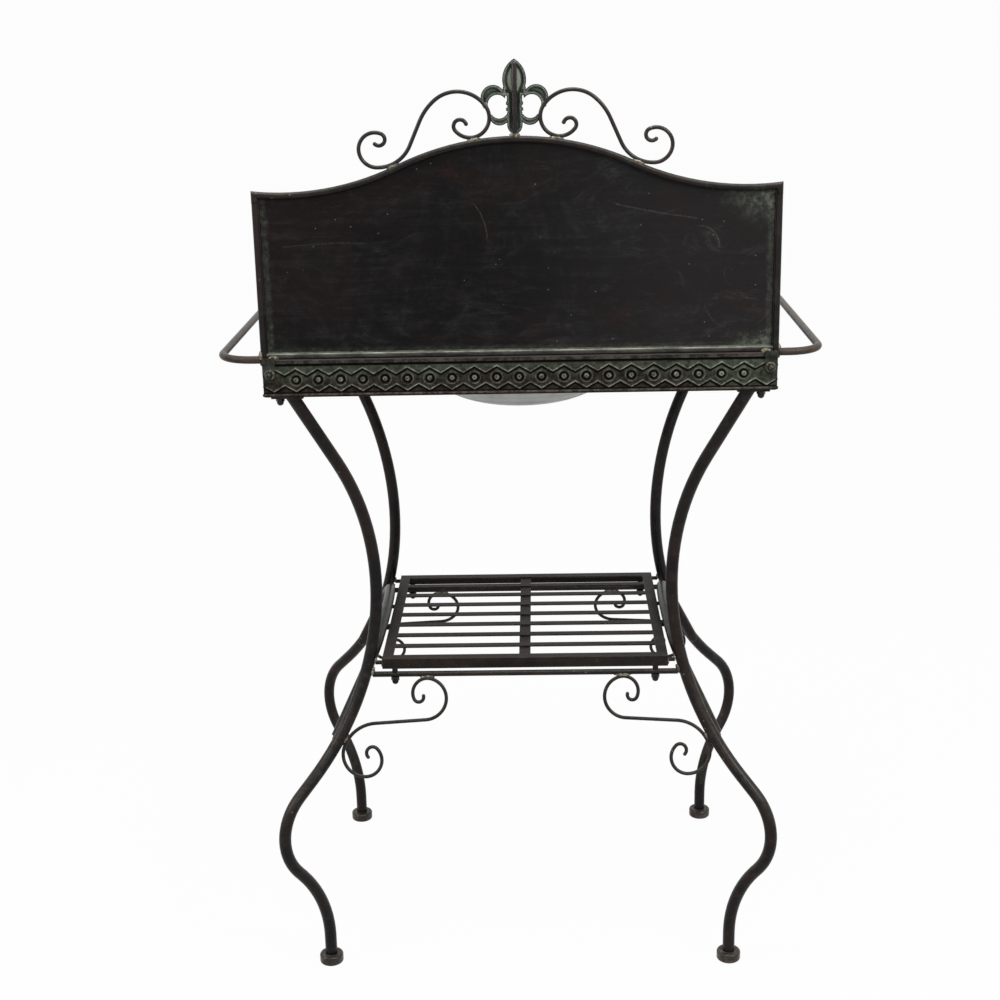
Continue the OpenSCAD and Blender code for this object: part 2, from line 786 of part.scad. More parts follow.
module crossbar() {
    half_l = leg_face(crossbar_z, crossbar_r);
    color(iron)
    difference() {
        translate([-half_l, crossbar_y, crossbar_z])
            rotate([0, 90, 0]) cylinder(d = crossbar_d, h = 2 * half_l);
        shelf_bolt_axis(crossbar_z - crossbar_d) cylinder(r = stud_hole_r, h = 2 * crossbar_d);
    }
}
module crossbar_front() at_end(-1) crossbar();
module crossbar_back() crossbar();

// One mitred angle bar along X, its upright face towards +Y at y = 0
module shelf_angle(length) color(patina_iron) {
    intersection() {
        rotate([90, 0, 90])
        linear_extrude(length, center = true)
        polygon([
            [0, shelf_h], [-angle_w, shelf_h], [-angle_w, shelf_h - bar_t],
            [-bar_t, shelf_h - bar_t], [-bar_t, shelf_bottom], [0, shelf_bottom]
        ]);
        translate([0, 0, shelf_bottom - 1])
        linear_extrude(angle_w + 2)
        polygon([
            [-length / 2, 0], [length / 2, 0],
            [length / 2 - 2 * angle_w, -2 * angle_w], [2 * angle_w - length / 2, -2 * angle_w]
        ]);
    }
}
module shelf_angle_front() {
    rotate([0, 0, 180]) translate([0, shelf_d / 2, 0]) shelf_angle(shelf_w);
}
module shelf_angle_back() translate([0, shelf_d / 2, 0]) shelf_angle(shelf_w);
module shelf_angle_left() {
    rotate([0, 0, 90]) translate([0, shelf_w / 2, 0]) shelf_angle(shelf_d);
}
module shelf_angle_right() {
    rotate([0, 0, -90]) translate([0, shelf_w / 2, 0]) shelf_angle(shelf_d);
}

inner_w = shelf_w - 2 * angle_w;
inner_d = shelf_d - 2 * angle_w;
slat_gap = (inner_d - slat_count * slat_w) / (slat_count + 1);
module slat(number) {
    if (number <= slat_count)
        color(patina_iron)
        translate([-inner_w / 2, (slat_gap + slat_w) * number - slat_w - inner_d / 2, shelf_h - bar_t])
            cube([inner_w, slat_w, bar_t]);
}
module slat_1() slat(1);
module slat_2() slat(2);
module slat_3() slat(3);
module slat_4() slat(4);
module slat_5() slat(5);
module slat_6() slat(6);
module slat_7() slat(7);

module shelf_strap() {
    length = shelf_d - 2 * bar_t;
    color(patina_iron)
    translate([-strap_under_w / 2, -length / 2, shelf_h - 2 * bar_t])
        cube([strap_under_w, length, bar_t]);
}

module shelf_pegs() {
    color(worn_iron)
    four_corners()
    translate([shelf_w / 2, leg_y(shelf_peg_z), shelf_peg_z])
    rotate([0, 90, 0])
    cylinder(d = peg_d, h = shelf_peg_l);
}
// The arches rest on these pegs
module arch_pegs() {
    color(worn_iron)
    both_sides()
    for (y = [-arch_peg_y, arch_peg_y])
        translate([shelf_w / 2, y, arch_peg_z])
        rotate([0, 90, 0])
        cylinder(d = peg_d, h = arch_x + peg_r - shelf_w / 2);
}

module shelf_standoffs() {
    color(iron)
    shelf_bolt_axis(crossbar_z + crossbar_r)
    difference() {
        cylinder(d = crossbar_d, h = standoff_h);
        translate([0, 0, -1]) cylinder(r = stud_hole_r, h = standoff_h + 2);
    }
}
module shelf_studs() {
    stud_low = crossbar_z - crossbar_r - nut_h * 0.6;
    color(iron)
    shelf_bolt_axis(stud_low)
    cylinder(d = shelf_bolt_d, h = shelf_bottom - stud_low);
}
module shelf_nuts() {
    color(iron)
    shelf_bolt_axis(crossbar_z - crossbar_r)
    rotate([180, 0, 0])
    cap_nut(shelf_bolt_d);
}

// ---- scroll brackets: each leans out from its crossbar to its leg ----
bracket_lean = 17.2;
bracket_run = [
    [7, -166], [20.5, -128], [28.5, -106], [31.5, -58], [71.6], [50, 66], [31.5, 111],
    [23, 135], [8.6, 175]
];
bracket_start = 191.4;
bracket_reach = 71.1;
bracket_loop_c = bend_centre(walk(bracket_run, 1, [0, 0, bracket_start]), bracket_run[1]);
bracket_top = bracket_loop_c[1] + bracket_run[1][0];
module bracket() {
    color(iron)
    translate([leg_face(crossbar_z, crossbar_r) - bracket_reach, crossbar_y, crossbar_z])
    rotate([bracket_lean, 0, 0])
    translate([0, 0, -crossbar_r - scroll_r - touch - bracket_top])
    rotate([0, bracket_start, 0])
    bent_bar(bracket_run, scroll_d);
}
module bracket_front_left() at_corner(-1, -1) bracket();
module bracket_front_right() at_corner(1, -1) bracket();
module bracket_back_left() at_corner(-1, 1) bracket();
module bracket_back_right() at_corner(1, 1) bracket();

// ---- towel rails: welded to the splashback's bar behind and the table's side in front ----
module rail() {
    rail_x = table_w / 2 + rail_out;
    rail_front_y = table_d / 2 - rail_front_inset;
    rear_l = rail_x - table_w / 2 - rail_bend_r - touch;
    color(worn_iron)
    translate([table_w / 2 + touch, rim_y, table_h + rail_rise])
    rotate([0, 90, 0])
    rotate([0, 0, -90])
    bent_bar([
        [rear_l], [rail_bend_r, 90], [rim_y + rail_front_y - 2 * rail_bend_r],
        [rail_bend_r, 90], [rear_l]
    ], rail_d);
}
module rail_left() at_side(-1) rail();
module rail_right() rail();

tabletop();
apron_front();
apron_back();
apron_left();
apron_right();
corner_gussets();
splash_sheet();
splash_rim();
splash_roll();
splash_straps();
strap_bolts();
strap_washers();
strap_nuts();
crest_scroll_left();
crest_scroll_right();
finial();
basin();
leg_front_left();
leg_front_right();
leg_back_left();
leg_back_right();
foot_front_left();
foot_front_right();
foot_back_left();
foot_back_right();
leg_pads();
leg_bolts();
leg_nuts();
arch_left();
arch_right();
arch_lugs();
arch_studs();
arch_nuts();
crossbar_front();
crossbar_back();
shelf_angle_front();
shelf_angle_back();
shelf_angle_left();
shelf_angle_right();
slat_1();
slat_2();
slat_3();
slat_4();
slat_5();
slat_6();
slat_7();
shelf_strap();
shelf_pegs();
arch_pegs();
shelf_standoffs();
shelf_studs();
shelf_nuts();
bracket_front_left();
bracket_front_right();
bracket_back_left();
bracket_back_right();
rail_left();
rail_right();
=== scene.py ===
"""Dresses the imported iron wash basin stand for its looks: embossed aprons, a cast finial, weld beads,
rounded rod tips and a procedural finish on every piece, on a white stage under soft studio light."""

import math

import bmesh
import bpy
from bpy.props import FloatProperty, FloatVectorProperty, PointerProperty
from mathutils import Matrix, Vector, noise
from mathutils.bvhtree import BVHTree


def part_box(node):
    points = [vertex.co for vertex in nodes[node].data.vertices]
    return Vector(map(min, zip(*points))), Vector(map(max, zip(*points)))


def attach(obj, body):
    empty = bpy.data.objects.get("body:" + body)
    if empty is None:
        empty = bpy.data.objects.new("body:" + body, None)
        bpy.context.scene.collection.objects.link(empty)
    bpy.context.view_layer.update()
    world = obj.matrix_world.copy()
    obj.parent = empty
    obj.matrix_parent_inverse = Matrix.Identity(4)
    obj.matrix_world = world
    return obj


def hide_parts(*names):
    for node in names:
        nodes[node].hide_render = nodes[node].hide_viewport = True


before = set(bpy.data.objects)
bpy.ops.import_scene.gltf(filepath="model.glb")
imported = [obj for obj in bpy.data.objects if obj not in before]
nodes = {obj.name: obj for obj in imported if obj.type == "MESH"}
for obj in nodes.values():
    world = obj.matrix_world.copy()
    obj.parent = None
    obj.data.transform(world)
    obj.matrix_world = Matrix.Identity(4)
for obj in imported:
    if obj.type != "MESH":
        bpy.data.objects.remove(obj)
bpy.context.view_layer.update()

bl_info = {
    "name": "Iron wash basin stand",
    "version": (1, 0, 0),
    "blender": (4, 5, 0),
    "location": "View3D > Sidebar > Wash stand",
    "description": "Dresses the packed wash basin stand and sets its stage",
    "category": "Object",
}

MM = 0.001
SIDES = ("left", "right")
CORNERS = ("front_left", "front_right", "back_left", "back_right")
SCROLL_RADIUS = 2.5 * MM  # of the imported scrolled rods
WHITE = (1, 1, 1, 1)


def length(label, help_text, default_mm):
    """A length property whose default is written in millimetres."""
    return FloatProperty(name=label, description=help_text, default=default_mm * MM, unit="LENGTH")


def colour(label, help_text, default):
    """A colour property, in linear light."""
    return FloatVectorProperty(
        name=label, description=help_text, default=default, size=3, subtype="COLOR", min=0, max=1
    )


class StandShapes(bpy.types.PropertyGroup):
    """Sizes of the embossing, the casting and the welds."""

    motif_pitch: length("Motif pitch", "Length of one embossed motif", 29)
    motif_middle: length("Motif middle", "Height of the motifs' middle over the apron's bottom", 22.7)
    relief: length("Relief", "How far the embossing stands out", 1.2)
    rib_width: length("Rib width", "Width of an embossed zigzag rib", 2.3)
    valley: length("Zigzag valley", "Height of the zigzag's valleys over the motif's middle", 6.8)
    rise: length("Zigzag rise", "How far each zigzag rises from valley to apex", 8.4)
    boss_radius: length("Boss radius", "Radius of the round boss", 3.4)
    ring_radius: length("Ring radius", "Radius of the ring round the boss", 7.9)
    sheet: length("Sheet", "Thickness of the apron sheet", 1.2)
    hem: length("Hem", "Height of the hem along the bottom of an apron", 4.7)
    fold: length("Fold", "Depth of the inward fold", 14)
    corner: length("Corner", "Radius of an apron's lower corners", 4)
    petal_edge: length("Petal edge", "Half thickness of the finial at its outline", 0.9)
    petal_middle: length("Petal middle", "Half thickness of the finial inside its outline", 2)
    rib_radius: length("Rib radius", "Radius of the rib down the finial", 3.25)
    corner_height: length("Rim corner", "Height of the rim bar's mitred corners", 1107.85)
    weld: length("Weld", "Radius of a small weld bead", 3.9)


class StandFinish(bpy.types.PropertyGroup):
    """Colours of the finishes."""

    black: colour("Lacquer black", "Thick black lacquer", (0.0050, 0.0045, 0.0047))
    brown: colour("Lacquer brown", "Thin lacquer over iron", (0.0170, 0.0105, 0.0085))
    worn: colour("Worn iron", "Lacquer rubbed through", (0.120, 0.092, 0.076))
    green: colour("Patina green", "Grey-green patina", (0.040, 0.055, 0.040))
    pale: colour("Patina pale", "Pale chalky patina", (0.27, 0.29, 0.22))
    rust: colour("Rust", "Red-brown rust", (0.050, 0.021, 0.016))
    zinc: colour("Zinc", "Bare zinc of the basin", (0.55, 0.56, 0.535))


class StandStage(bpy.types.PropertyGroup):
    """The camera and the light."""

    focal: FloatProperty(name="Lens", description="Focal length in millimetres", default=59.30)
    pitch: FloatProperty(
        name="Pitch", description="Camera tilt downward", default=math.radians(16.6), subtype="ANGLE"
    )
    heading: FloatProperty(
        name="Heading", description="Camera turn", default=math.radians(1.5), subtype="ANGLE"
    )
    roll: FloatProperty(name="Roll", description="Camera roll", default=math.radians(-1.22), subtype="ANGLE")
    eye: FloatVectorProperty(
        name="Eye", description="Camera place", default=(-0.0263, 2.3258, 1.3251), size=3, unit="LENGTH"
    )
    ambient: FloatProperty(name="Ambient", description="Strength of the world's light", default=0.24)
    key_power: FloatProperty(name="Key", description="Power of the main softbox", default=76, unit="POWER")


# ---- making pieces ----
def make_object(name, bm, material):
    """Turns a bmesh into a smooth object at the origin."""
    mesh = bpy.data.meshes.new(name)
    bm.to_mesh(mesh)
    bm.free()
    for polygon in mesh.polygons:
        polygon.use_smooth = True
    mesh.materials.append(material)
    made = bpy.data.objects.new(name, mesh)
    bpy.context.scene.collection.objects.link(made)
    return made


def add_piece(name, bm, finish):
    """Makes a piece that rides on the stand, with the given finish."""
    piece = make_object(name, bm, FINISHES[finish])
    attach(piece, "stand")
    return piece


def bump_at(point, size, seed=0.0):
    """Smooth noise from -1 to 1 with features about size across."""
    return noise.noise(Vector(point) / size + Vector((seed, seed * 0.7, -seed)))


# ---- shader building ----
class Wire:
    """A shader socket that takes part in arithmetic by adding Math nodes."""

    def __init__(self, graph, socket):
        self.graph = graph
        self.socket = socket

    def __add__(self, other):
        return self.graph.maths("ADD", self, other)

    def __radd__(self, other):
        return self.graph.maths("ADD", other, self)

    def __sub__(self, other):
        return self.graph.maths("SUBTRACT", self, other)

    def __rsub__(self, other):
        return self.graph.maths("SUBTRACT", other, self)

    def __mul__(self, other):
        return self.graph.maths("MULTIPLY", self, other)

    def __rmul__(self, other):
        return self.graph.maths("MULTIPLY", other, self)

    def __abs__(self):
        return self.graph.maths("ABSOLUTE", self)


class Graph:
    """A node tree, emptied and then built up from wires."""

    def __init__(self, tree):
        self.tree = tree
        tree.nodes.clear()

    def fill(self, node, sockets):
        """Links or sets a node's sockets."""
        for key, value in sockets.items():
            if isinstance(value, Wire):
                self.tree.links.new(value.socket, node.inputs[key])
            else:
                node.inputs[key].default_value = value

    def node(self, kind, settings, sockets, output=0):
        """Adds a node, sets it, fills its sockets and returns one of its outputs."""
        made = self.tree.nodes.new(kind)
        for key, value in settings.items():
            setattr(made, key, value)
        self.fill(made, sockets)
        return Wire(self, made.outputs[output])

    def maths(self, operation, *values):
        """Adds a Math node."""
        return self.node("ShaderNodeMath", {"operation": operation}, dict(enumerate(values)))

    def seen(self):
        """1 for rays from the camera, reflections and glass, and 0 for all others."""
        camera, glossy, glass = (
            self.node("ShaderNodeLightPath", {}, {}, key)
            for key in ("Is Camera Ray", "Is Glossy Ray", "Is Transmission Ray")
        )
        return self.maths("MAXIMUM", self.maths("MAXIMUM", camera, glossy), glass)

    def end(self, kind, surface):
        """Ends the tree in an output node of this kind."""
        self.fill(self.tree.nodes.new(kind), {"Surface": surface})


class Finish(Graph):
    """One procedural material, built up from masks and colours."""

    def __init__(self, name, specular):
        self.material = bpy.data.materials.new(name)
        self.material.use_nodes = True
        super().__init__(self.material.node_tree)
        self.shader = self.tree.nodes.new("ShaderNodeBsdfPrincipled")
        self.shader.inputs["Specular IOR Level"].default_value = specular
        self.place = self.node("ShaderNodeTexCoord", {}, {}, "Object")

    def placed(self, offset, stretch=(1, 1, 1)):
        """The object's coordinates, stretched and moved."""
        sockets = {"Vector": self.place, "Location": offset, "Scale": stretch}
        return self.node("ShaderNodeMapping", {}, sockets)

    def noise(self, vector, scale, detail, rough, warp=0.0):
        """Noise from 0 to 1 over any coordinates."""
        sockets = {"Vector": vector, "Scale": scale, "Detail": detail, "Roughness": rough, "Distortion": warp}
        return self.node("ShaderNodeTexNoise", {}, sockets)

    def grain(self, scale, stretch=(1, 1, 1), detail=4, rough=0.6, warp=0.0, shift=0.0):
        """Noise over the object; scale counts features to the metre, and shift picks another field."""
        return self.noise(self.placed((shift, shift, shift), stretch), scale, detail, rough, warp)

    def cells(self, scale, shift=0.0):
        """Distance to the nearest of scattered points, in cells."""
        sockets = {"Vector": self.placed((shift, 0, shift)), "Scale": scale}
        return self.node("ShaderNodeTexVoronoi", {}, sockets, "Distance")

    def attribute(self, name):
        """A number that the mesh carries at each of its points."""
        return self.node("ShaderNodeAttribute", {"attribute_name": name}, {}, "Fac")

    def axis(self, key):
        """The object's X, Y or Z."""
        return self.node("ShaderNodeSeparateXYZ", {}, {0: self.place}, key)

    def normal(self):
        """The way the surface faces."""
        return self.node("ShaderNodeNewGeometry", {}, {}, "Normal")

    def dot(self, first, second):
        """Dot product of two directions."""
        sockets = {0: first, 1: second}
        return self.node("ShaderNodeVectorMath", {"operation": "DOT_PRODUCT"}, sockets, "Value")

    def band(self, value, low, high):
        """Rises smoothly from 0 at low to 1 at high."""
        sockets = {"Value": value, "From Min": low, "From Max": high}
        return self.node("ShaderNodeMapRange", {"interpolation_type": "SMOOTHSTEP"}, sockets)

    def mix(self, first, second, factor):
        """Blends two colours, given as tuples or wires."""
        ready = [c if isinstance(c, Wire) else (*c, 1.0) for c in (first, second)]
        sockets = {0: factor, 6: ready[0], 7: ready[1]}
        return self.node("ShaderNodeMix", {"data_type": "RGBA"}, sockets, 2)

    def facing_up(self, low, high):
        """Rises from 0 to 1 as a face turns from low to high, where 1 is straight up."""
        return self.band(self.dot(self.normal(), (0, 0, 1)), low, high)

    def edges(self, radius):
        """About 1 along sharp edges and 0 away from them."""
        soft = self.node("ShaderNodeBevel", {"samples": 4}, {"Radius": radius})
        return self.band(1 - self.dot(soft, self.normal()), 0.01, 0.12)

    def distance(self, first, second):
        """Length of a run that goes first one way and then across it."""
        return self.maths("SQRT", first * first + second * second)

    def least(self, first, second):
        """The lower of two numbers."""
        return self.maths("MINIMUM", first, second)

    def most(self, first, second):
        """The higher of two numbers."""
        return self.maths("MAXIMUM", first, second)

    def close(self, base, rough, height, depth, metal=0.0):
        """Feeds the shader and returns the finished material; depth is that of the bumps."""
        bump = self.node("ShaderNodeBump", {}, {"Height": height, "Distance": depth, "Strength": 1.0})
        sockets = {"Base Color": base, "Roughness": rough, "Metallic": metal, "Normal": bump}
        self.fill(self.shader, sockets)
        self.end("ShaderNodeOutputMaterial", Wire(self, self.shader.outputs[0]))
        return self.material


def tube_lacquer(name, colours, wear, specular, roughness, lift=0.0, dust_and_highlight=0.5):
    """Brown-black lacquer on bent tube, rubbed and knocked.

    wear is how far the lacquer is rubbed through, roughness the least that it has, lift how much
    lighter all of it is, and the last how grey its upper side is: partly dust, partly a painted highlight.
    """
    f = Finish(name, specular)
    cloud = f.grain(9, detail=3)
    mottle = f.grain(70, detail=6, rough=0.7, shift=3.1)
    fine = f.grain(420, detail=5, rough=0.75, shift=7.7)
    base = f.mix(colours.black, colours.brown, f.band(cloud * 0.5 + mottle * 0.5, 0.40, 0.60))
    if lift:
        haze = f.band(mottle * 0.6 + fine * 0.4, 0.30, 0.66)
        sanded = (0.128, 0.087, 0.068)
        base = f.mix(base, sanded, (0.35 + haze * 0.65) * lift)
    rubbed = f.band(mottle * 0.55 + fine * 0.45, 0.64 - wear, 0.74 - wear)
    base = f.mix(base, colours.worn, rubbed * 0.7)
    # The upper side is painted grey: partly dust, partly a painted highlight along the tube
    dust_and_highlight_mask = f.facing_up(0.08, 0.62) * f.band(mottle * 0.5 + fine * 0.5, 0.34, 0.58)
    base = f.mix(base, (0.062, 0.058, 0.050), dust_and_highlight_mask * dust_and_highlight)
    stain = f.band(f.grain(34, detail=5, rough=0.65, shift=12.0), 0.56, 0.70)
    bloom = stain * 0.5 + f.facing_up(0.55, 0.95) * 0.25
    base = f.mix(base, colours.green, bloom * f.band(fine, 0.3, 0.6))
    rust = f.band(f.grain(26, detail=5, rough=0.7, shift=21.0), 0.58, 0.72)
    base = f.mix(base, colours.rust, rust * 0.5)
    knocks = f.band(f.cells(95, 5.0), 0.13, 0.06) * f.band(cloud, 0.52, 0.62)
    base = f.mix(base, colours.pale, knocks * 0.45)
    rough = roughness + fine * 0.20 + stain * 0.1
    return f.close(base, rough, mottle * 0.6 + fine * 0.4, 0.14 * MM)


def bar_lacquer(name, colours, green, specular):
    """Lacquer on flat bar, brown and worn along its edges; green is how much patina it has."""
    f = Finish(name, specular)
    cloud = f.grain(14, detail=4)
    mottle = f.grain(90, detail=6, rough=0.7, shift=4.0)
    brushed = f.grain(40, stretch=(0.12, 1, 1), detail=6, rough=0.75, shift=9.0)
    base = f.mix(colours.black, colours.brown, f.band(cloud, 0.35, 0.65))
    grey = f.band(mottle * 0.5 + brushed * 0.5, 0.40, 0.60)
    base = f.mix(base, colours.green, grey * green)
    trodden = f.facing_up(0.6, 0.95) * f.band(brushed, 0.38, 0.62)
    base = f.mix(base, (0.034, 0.024, 0.021), trodden * 0.5)
    worn = f.edges(1.2 * MM)
    base = f.mix(base, colours.rust, worn * 0.6)
    base = f.mix(base, colours.worn, worn * f.band(mottle, 0.42, 0.56) * 0.65)
    chips = f.band(f.cells(160, 2.0), 0.16, 0.08) * f.band(cloud, 0.55, 0.7)
    base = f.mix(base, colours.pale, chips * 0.5)
    return f.close(base, 0.36 + mottle * 0.24, mottle, 0.3 * MM)


# Scratches on the splashback are arcs: middle (X, Z), radius, from and to in X and in Z, strength
SCRATCHES = (
    ((-0.229, 1.033), 0.026, -0.26, -0.224, 1.030, 1.062, 0.32),
    ((0.10, 1.05), 0.062, 0.030, 0.056, 1.045, 1.100, 0.2),
    ((-0.36, 2.06), 1.0, -0.23, -0.12, 1.060, 1.095, 0.22),
    ((-0.28, 0.97), 0.044, -0.32, -0.235, 0.930, 0.985, 0.12),
    ((0.22, 0.30), 0.745, 0.19, 0.30, 1.030, 1.060, 0.12),
)


def panel_lacquer(name, colours, low, high, shoulder):
    """Charcoal lacquer on sheet: brushed along X, with patina in its corners and along its edges.

    low and high are the sheet's corners, and shoulder is the height of its upper corners.
    """
    f = Finish(name, 0.055)
    x, z = f.axis("X"), f.axis("Z")
    half = (high - low) / 2
    right = f.band(x, half[0] * 0.25, -half[0] * 0.75)
    cloud = f.grain(6, detail=5, rough=0.6)
    brushed = f.grain(26, stretch=(0.2, 1, 4), detail=9, rough=0.82, shift=5.0)
    swirl = f.grain(11, detail=8, rough=0.78, warp=1.8, shift=14.0)
    fine = f.grain(520, detail=4, rough=0.7)
    lumps = f.grain(75, stretch=(0.6, 1, 1.2), detail=6, rough=0.7, warp=0.8, shift=51.0)
    lumps = f.band(lumps, 0.50, 0.72)
    base = f.mix((0.0050, 0.0048, 0.0050), (0.0085, 0.0062, 0.0060), f.band(cloud, 0.42, 0.60))
    # Painted light: the side towards -X is painted lighter, as light falling from the key softbox's side
    base = f.mix(base, (0.0170, 0.0155, 0.0155), right * 0.75)
    film = f.band(brushed * 0.5 + swirl * 0.5, 0.47, 0.66)
    base = f.mix(base, (0.020, 0.021, 0.022), film * 0.6)
    smear = f.grain(15, stretch=(0.5, 1, 1.4), detail=10, rough=0.86, warp=1.2, shift=40.0)
    base = f.mix(base, (0.046, 0.046, 0.045), f.band(smear, 0.52, 0.70) * (0.28 + right * 0.42))
    reddish = f.band(f.grain(13, detail=9, rough=0.8, shift=31.0), 0.54, 0.68)
    base = f.mix(base, (0.028, 0.014, 0.011), reddish * 0.5)
    base = f.mix(base, (0.036, 0.032, 0.030), lumps * f.band(swirl, 0.44, 0.60) * (0.25 + right * 0.35))
    ragged = f.grain(42, detail=8, rough=0.8, shift=17.0) - 0.5
    fade = 6 * MM
    for centre, radius, low_x, high_x, low_z, high_z, strength in SCRATCHES:
        away = abs(f.distance(x - centre[0], z - centre[1]) - radius + ragged * (4 * MM))
        line = 1 - f.band(away, 0.2 * MM, 1.4 * MM)
        window = f.band(x, low_x, low_x + fade) * f.band(x, high_x, high_x - fade)
        window = window * f.band(z, low_z, low_z + fade) * f.band(z, high_z, high_z - fade)
        base = f.mix(base, (0.17, 0.16, 0.145), line * window * f.band(fine, 0.36, 0.60) * strength)
    specks = f.band(f.cells(60, 8.0), 0.050, 0.028)
    base = f.mix(base, colours.pale, specks * 0.5)
    # Patina creeps in from the sides and the bottom, and fills the corners on one side
    side = half[0] - abs(x)
    bottom = z - low[2]
    drop = shoulder - z
    rim = 1 - f.band(side + ragged * (14 * MM), 6.5 * MM, 12 * MM)
    foot = 1 - f.band(bottom + ragged * (8 * MM), 3.5 * MM, 8.5 * MM)
    blur = ragged * (35 * MM)
    low_corner = 1 - f.band(f.distance(side * 0.45, bottom) + blur, 4 * MM, 30 * MM)
    high_corner = 1 - f.band(f.distance(side * 0.6, drop * 0.9) + blur, 12 * MM, 50 * MM)
    mottled = f.band(f.grain(130, detail=8, rough=0.85, shift=23.0), 0.36, 0.66)
    haze = (low_corner * 0.9 + high_corner * 0.75) * (0.06 + right * 0.94)
    patina = f.least(haze + foot * 0.22 + rim * (0.34 - right * 0.04), 1.0)
    tone = f.mix((0.030, 0.036, 0.029), (0.150, 0.165, 0.130), mottled)
    base = f.mix(base, tone, patina * (0.30 + mottled * 0.65))
    seam = 1 - f.band(bottom, 0.8 * MM, 2.2 * MM)
    base = f.mix(base, colours.pale, seam * f.band(ragged, -0.2, 0.2) * 0.75)
    # Painted shade: the corner under the rim bar is painted near black
    rim_shade = 1 - f.band(side, 0.8 * MM, 2.6 * MM)
    base = f.mix(base, (0.0015, 0.0015, 0.0015), rim_shade * 0.9)
    rough = 0.44 + film * 0.1 + patina * 0.18
    height = brushed * 0.35 + fine * 0.1 + swirl * 0.3 + lumps * 0.35
    return f.close(base, rough, height, 0.7 * MM)


def table_lacquer(name, colours, reach):
    """Dark lacquer on the tabletop, red-brown on its edge and worn in a ring round the basin.

    reach is the table's corner, as seen from its middle.
    """
    f = Finish(name, 0.08)
    x, y = f.axis("X"), f.axis("Y")
    cloud = f.grain(8, detail=6, rough=0.65)
    mottle = f.grain(80, detail=7, rough=0.75, shift=6.0)
    base = f.mix(colours.black, colours.brown, f.band(cloud * 0.6 + mottle * 0.4, 0.40, 0.58))
    base = f.mix(base, colours.green, f.band(mottle, 0.46, 0.62) * f.facing_up(0.6, 0.95) * 0.6)
    edge = f.band(f.most(abs(x) - reach[0], abs(y) - reach[1]), -3.5 * MM, -1 * MM)
    band = f.mix((0.018, 0.013, 0.011), (0.075, 0.060, 0.050), f.band(mottle, 0.42, 0.62))
    base = f.mix(base, band, edge * 0.85)
    ring_radius = 168 * MM
    away = abs(f.distance(x, y) - ring_radius + (cloud - 0.5) * (20 * MM))
    ring = (1 - f.band(away, MM, 7 * MM)) * f.band(mottle, 0.42, 0.6)
    base = f.mix(base, (0.075, 0.082, 0.064), ring * 0.6)
    return f.close(base, 0.36 + mottle * 0.25, mottle, 0.3 * MM)


def roll_lacquer(name):
    """The rolled edge: a pale green painted highlight along its top, brown in the middle, and painted shade
    under it.
    """
    f = Finish(name, 0.12)
    mottle = f.grain(120, stretch=(0.3, 1, 1), detail=7, rough=0.75, shift=6.0)
    base = f.mix((0.010, 0.0085, 0.0075), (0.048, 0.042, 0.037), f.band(mottle, 0.36, 0.64))
    # Painted highlight: the upward faces are painted pale green-cream
    crest = f.mix((0.080, 0.092, 0.072), (0.32, 0.34, 0.28), f.band(mottle, 0.36, 0.64))
    base = f.mix(base, crest, f.facing_up(0.62, 0.92) * 0.9)
    # Painted shade: the downward faces are painted near black
    base = f.mix(base, (0.002, 0.002, 0.002), f.facing_up(-0.15, -0.6) * 0.9)
    return f.close(base, 0.40 + mottle * 0.2, mottle, 0.4 * MM)


def embossed_lacquer(name, colours):
    """Patina on pressed sheet: painted shade, black, under the ribs, green and brown on the flats, and pale
    on the ribs as wear and painted highlight.

    The strips carry three attributes: relief, the painted shade, and over, their height from 0 to 1.
    """
    f = Finish(name, 0.04)
    relief, painted_shade, over = (f.attribute(key) for key in ("relief", "painted_shade", "over"))
    cloud = f.grain(13, detail=4, rough=0.6)
    mottle = f.grain(140, detail=7, rough=0.78, shift=6.0)
    brown = f.mix((0.010, 0.0075, 0.006), (0.036, 0.031, 0.025), f.band(mottle, 0.38, 0.62))
    green = f.mix((0.026, 0.035, 0.025), (0.080, 0.098, 0.070), f.band(mottle, 0.36, 0.64))
    end = f.band(f.axis("X") + (cloud - 0.5) * 0.2, -0.18, -0.34)
    greener = f.band(over + (cloud - 0.5) * 1.1, 0.44, 0.74) * 0.55 + end * 0.6
    flat = f.mix(brown, green, f.least(greener, 1.0))
    hem = f.band(over, 0.155, 0.10)
    rusty = f.mix((0.018, 0.012, 0.010), (0.085, 0.066, 0.054), f.band(mottle, 0.38, 0.64))
    flat = f.mix(flat, rusty, hem * 0.85)
    # Worn and lit: the ribs are painted pale, partly as wear and partly as a painted highlight
    high = f.band(relief, 0.48, 0.78)
    worn_and_lit_ridge = f.mix((0.100, 0.092, 0.075), colours.pale, f.band(mottle, 0.38, 0.64))
    base = f.mix(flat, worn_and_lit_ridge, high * (0.50 + end * 0.2 + f.band(mottle, 0.40, 0.60) * 0.3))
    # Painted shade: the grooves, moats and shaded bands are painted near black
    base = f.mix(base, (0.0003, 0.0003, 0.0003), f.least(painted_shade * 1.3, 1.0))
    return f.close(base, 0.38 + mottle * 0.25, mottle, 0.25 * MM)


def cast_lacquer(name):
    """Grey-green patina on the finial, painted near black along its outline as shade, and pale inside it."""
    f = Finish(name, 0.12)
    relief = f.attribute("relief")
    cloud = f.grain(60, detail=4, rough=0.6)
    mottle = f.grain(320, detail=6, rough=0.75, shift=6.0)
    # Painted shade: near black along the outline, where the relief attribute is low, and darker in the groove
    inside = f.band(relief + (cloud - 0.5) * 0.5, 0.18, 0.48)
    base = f.mix((0.0012, 0.0012, 0.0010), (0.034, 0.044, 0.035), inside)
    ridges = f.band(relief + (mottle - 0.5) * 0.6, 0.56, 0.88)
    base = f.mix(base, (0.27, 0.285, 0.235), ridges * 0.8)
    return f.close(base, 0.40 + mottle * 0.2, mottle, 0.3 * MM)


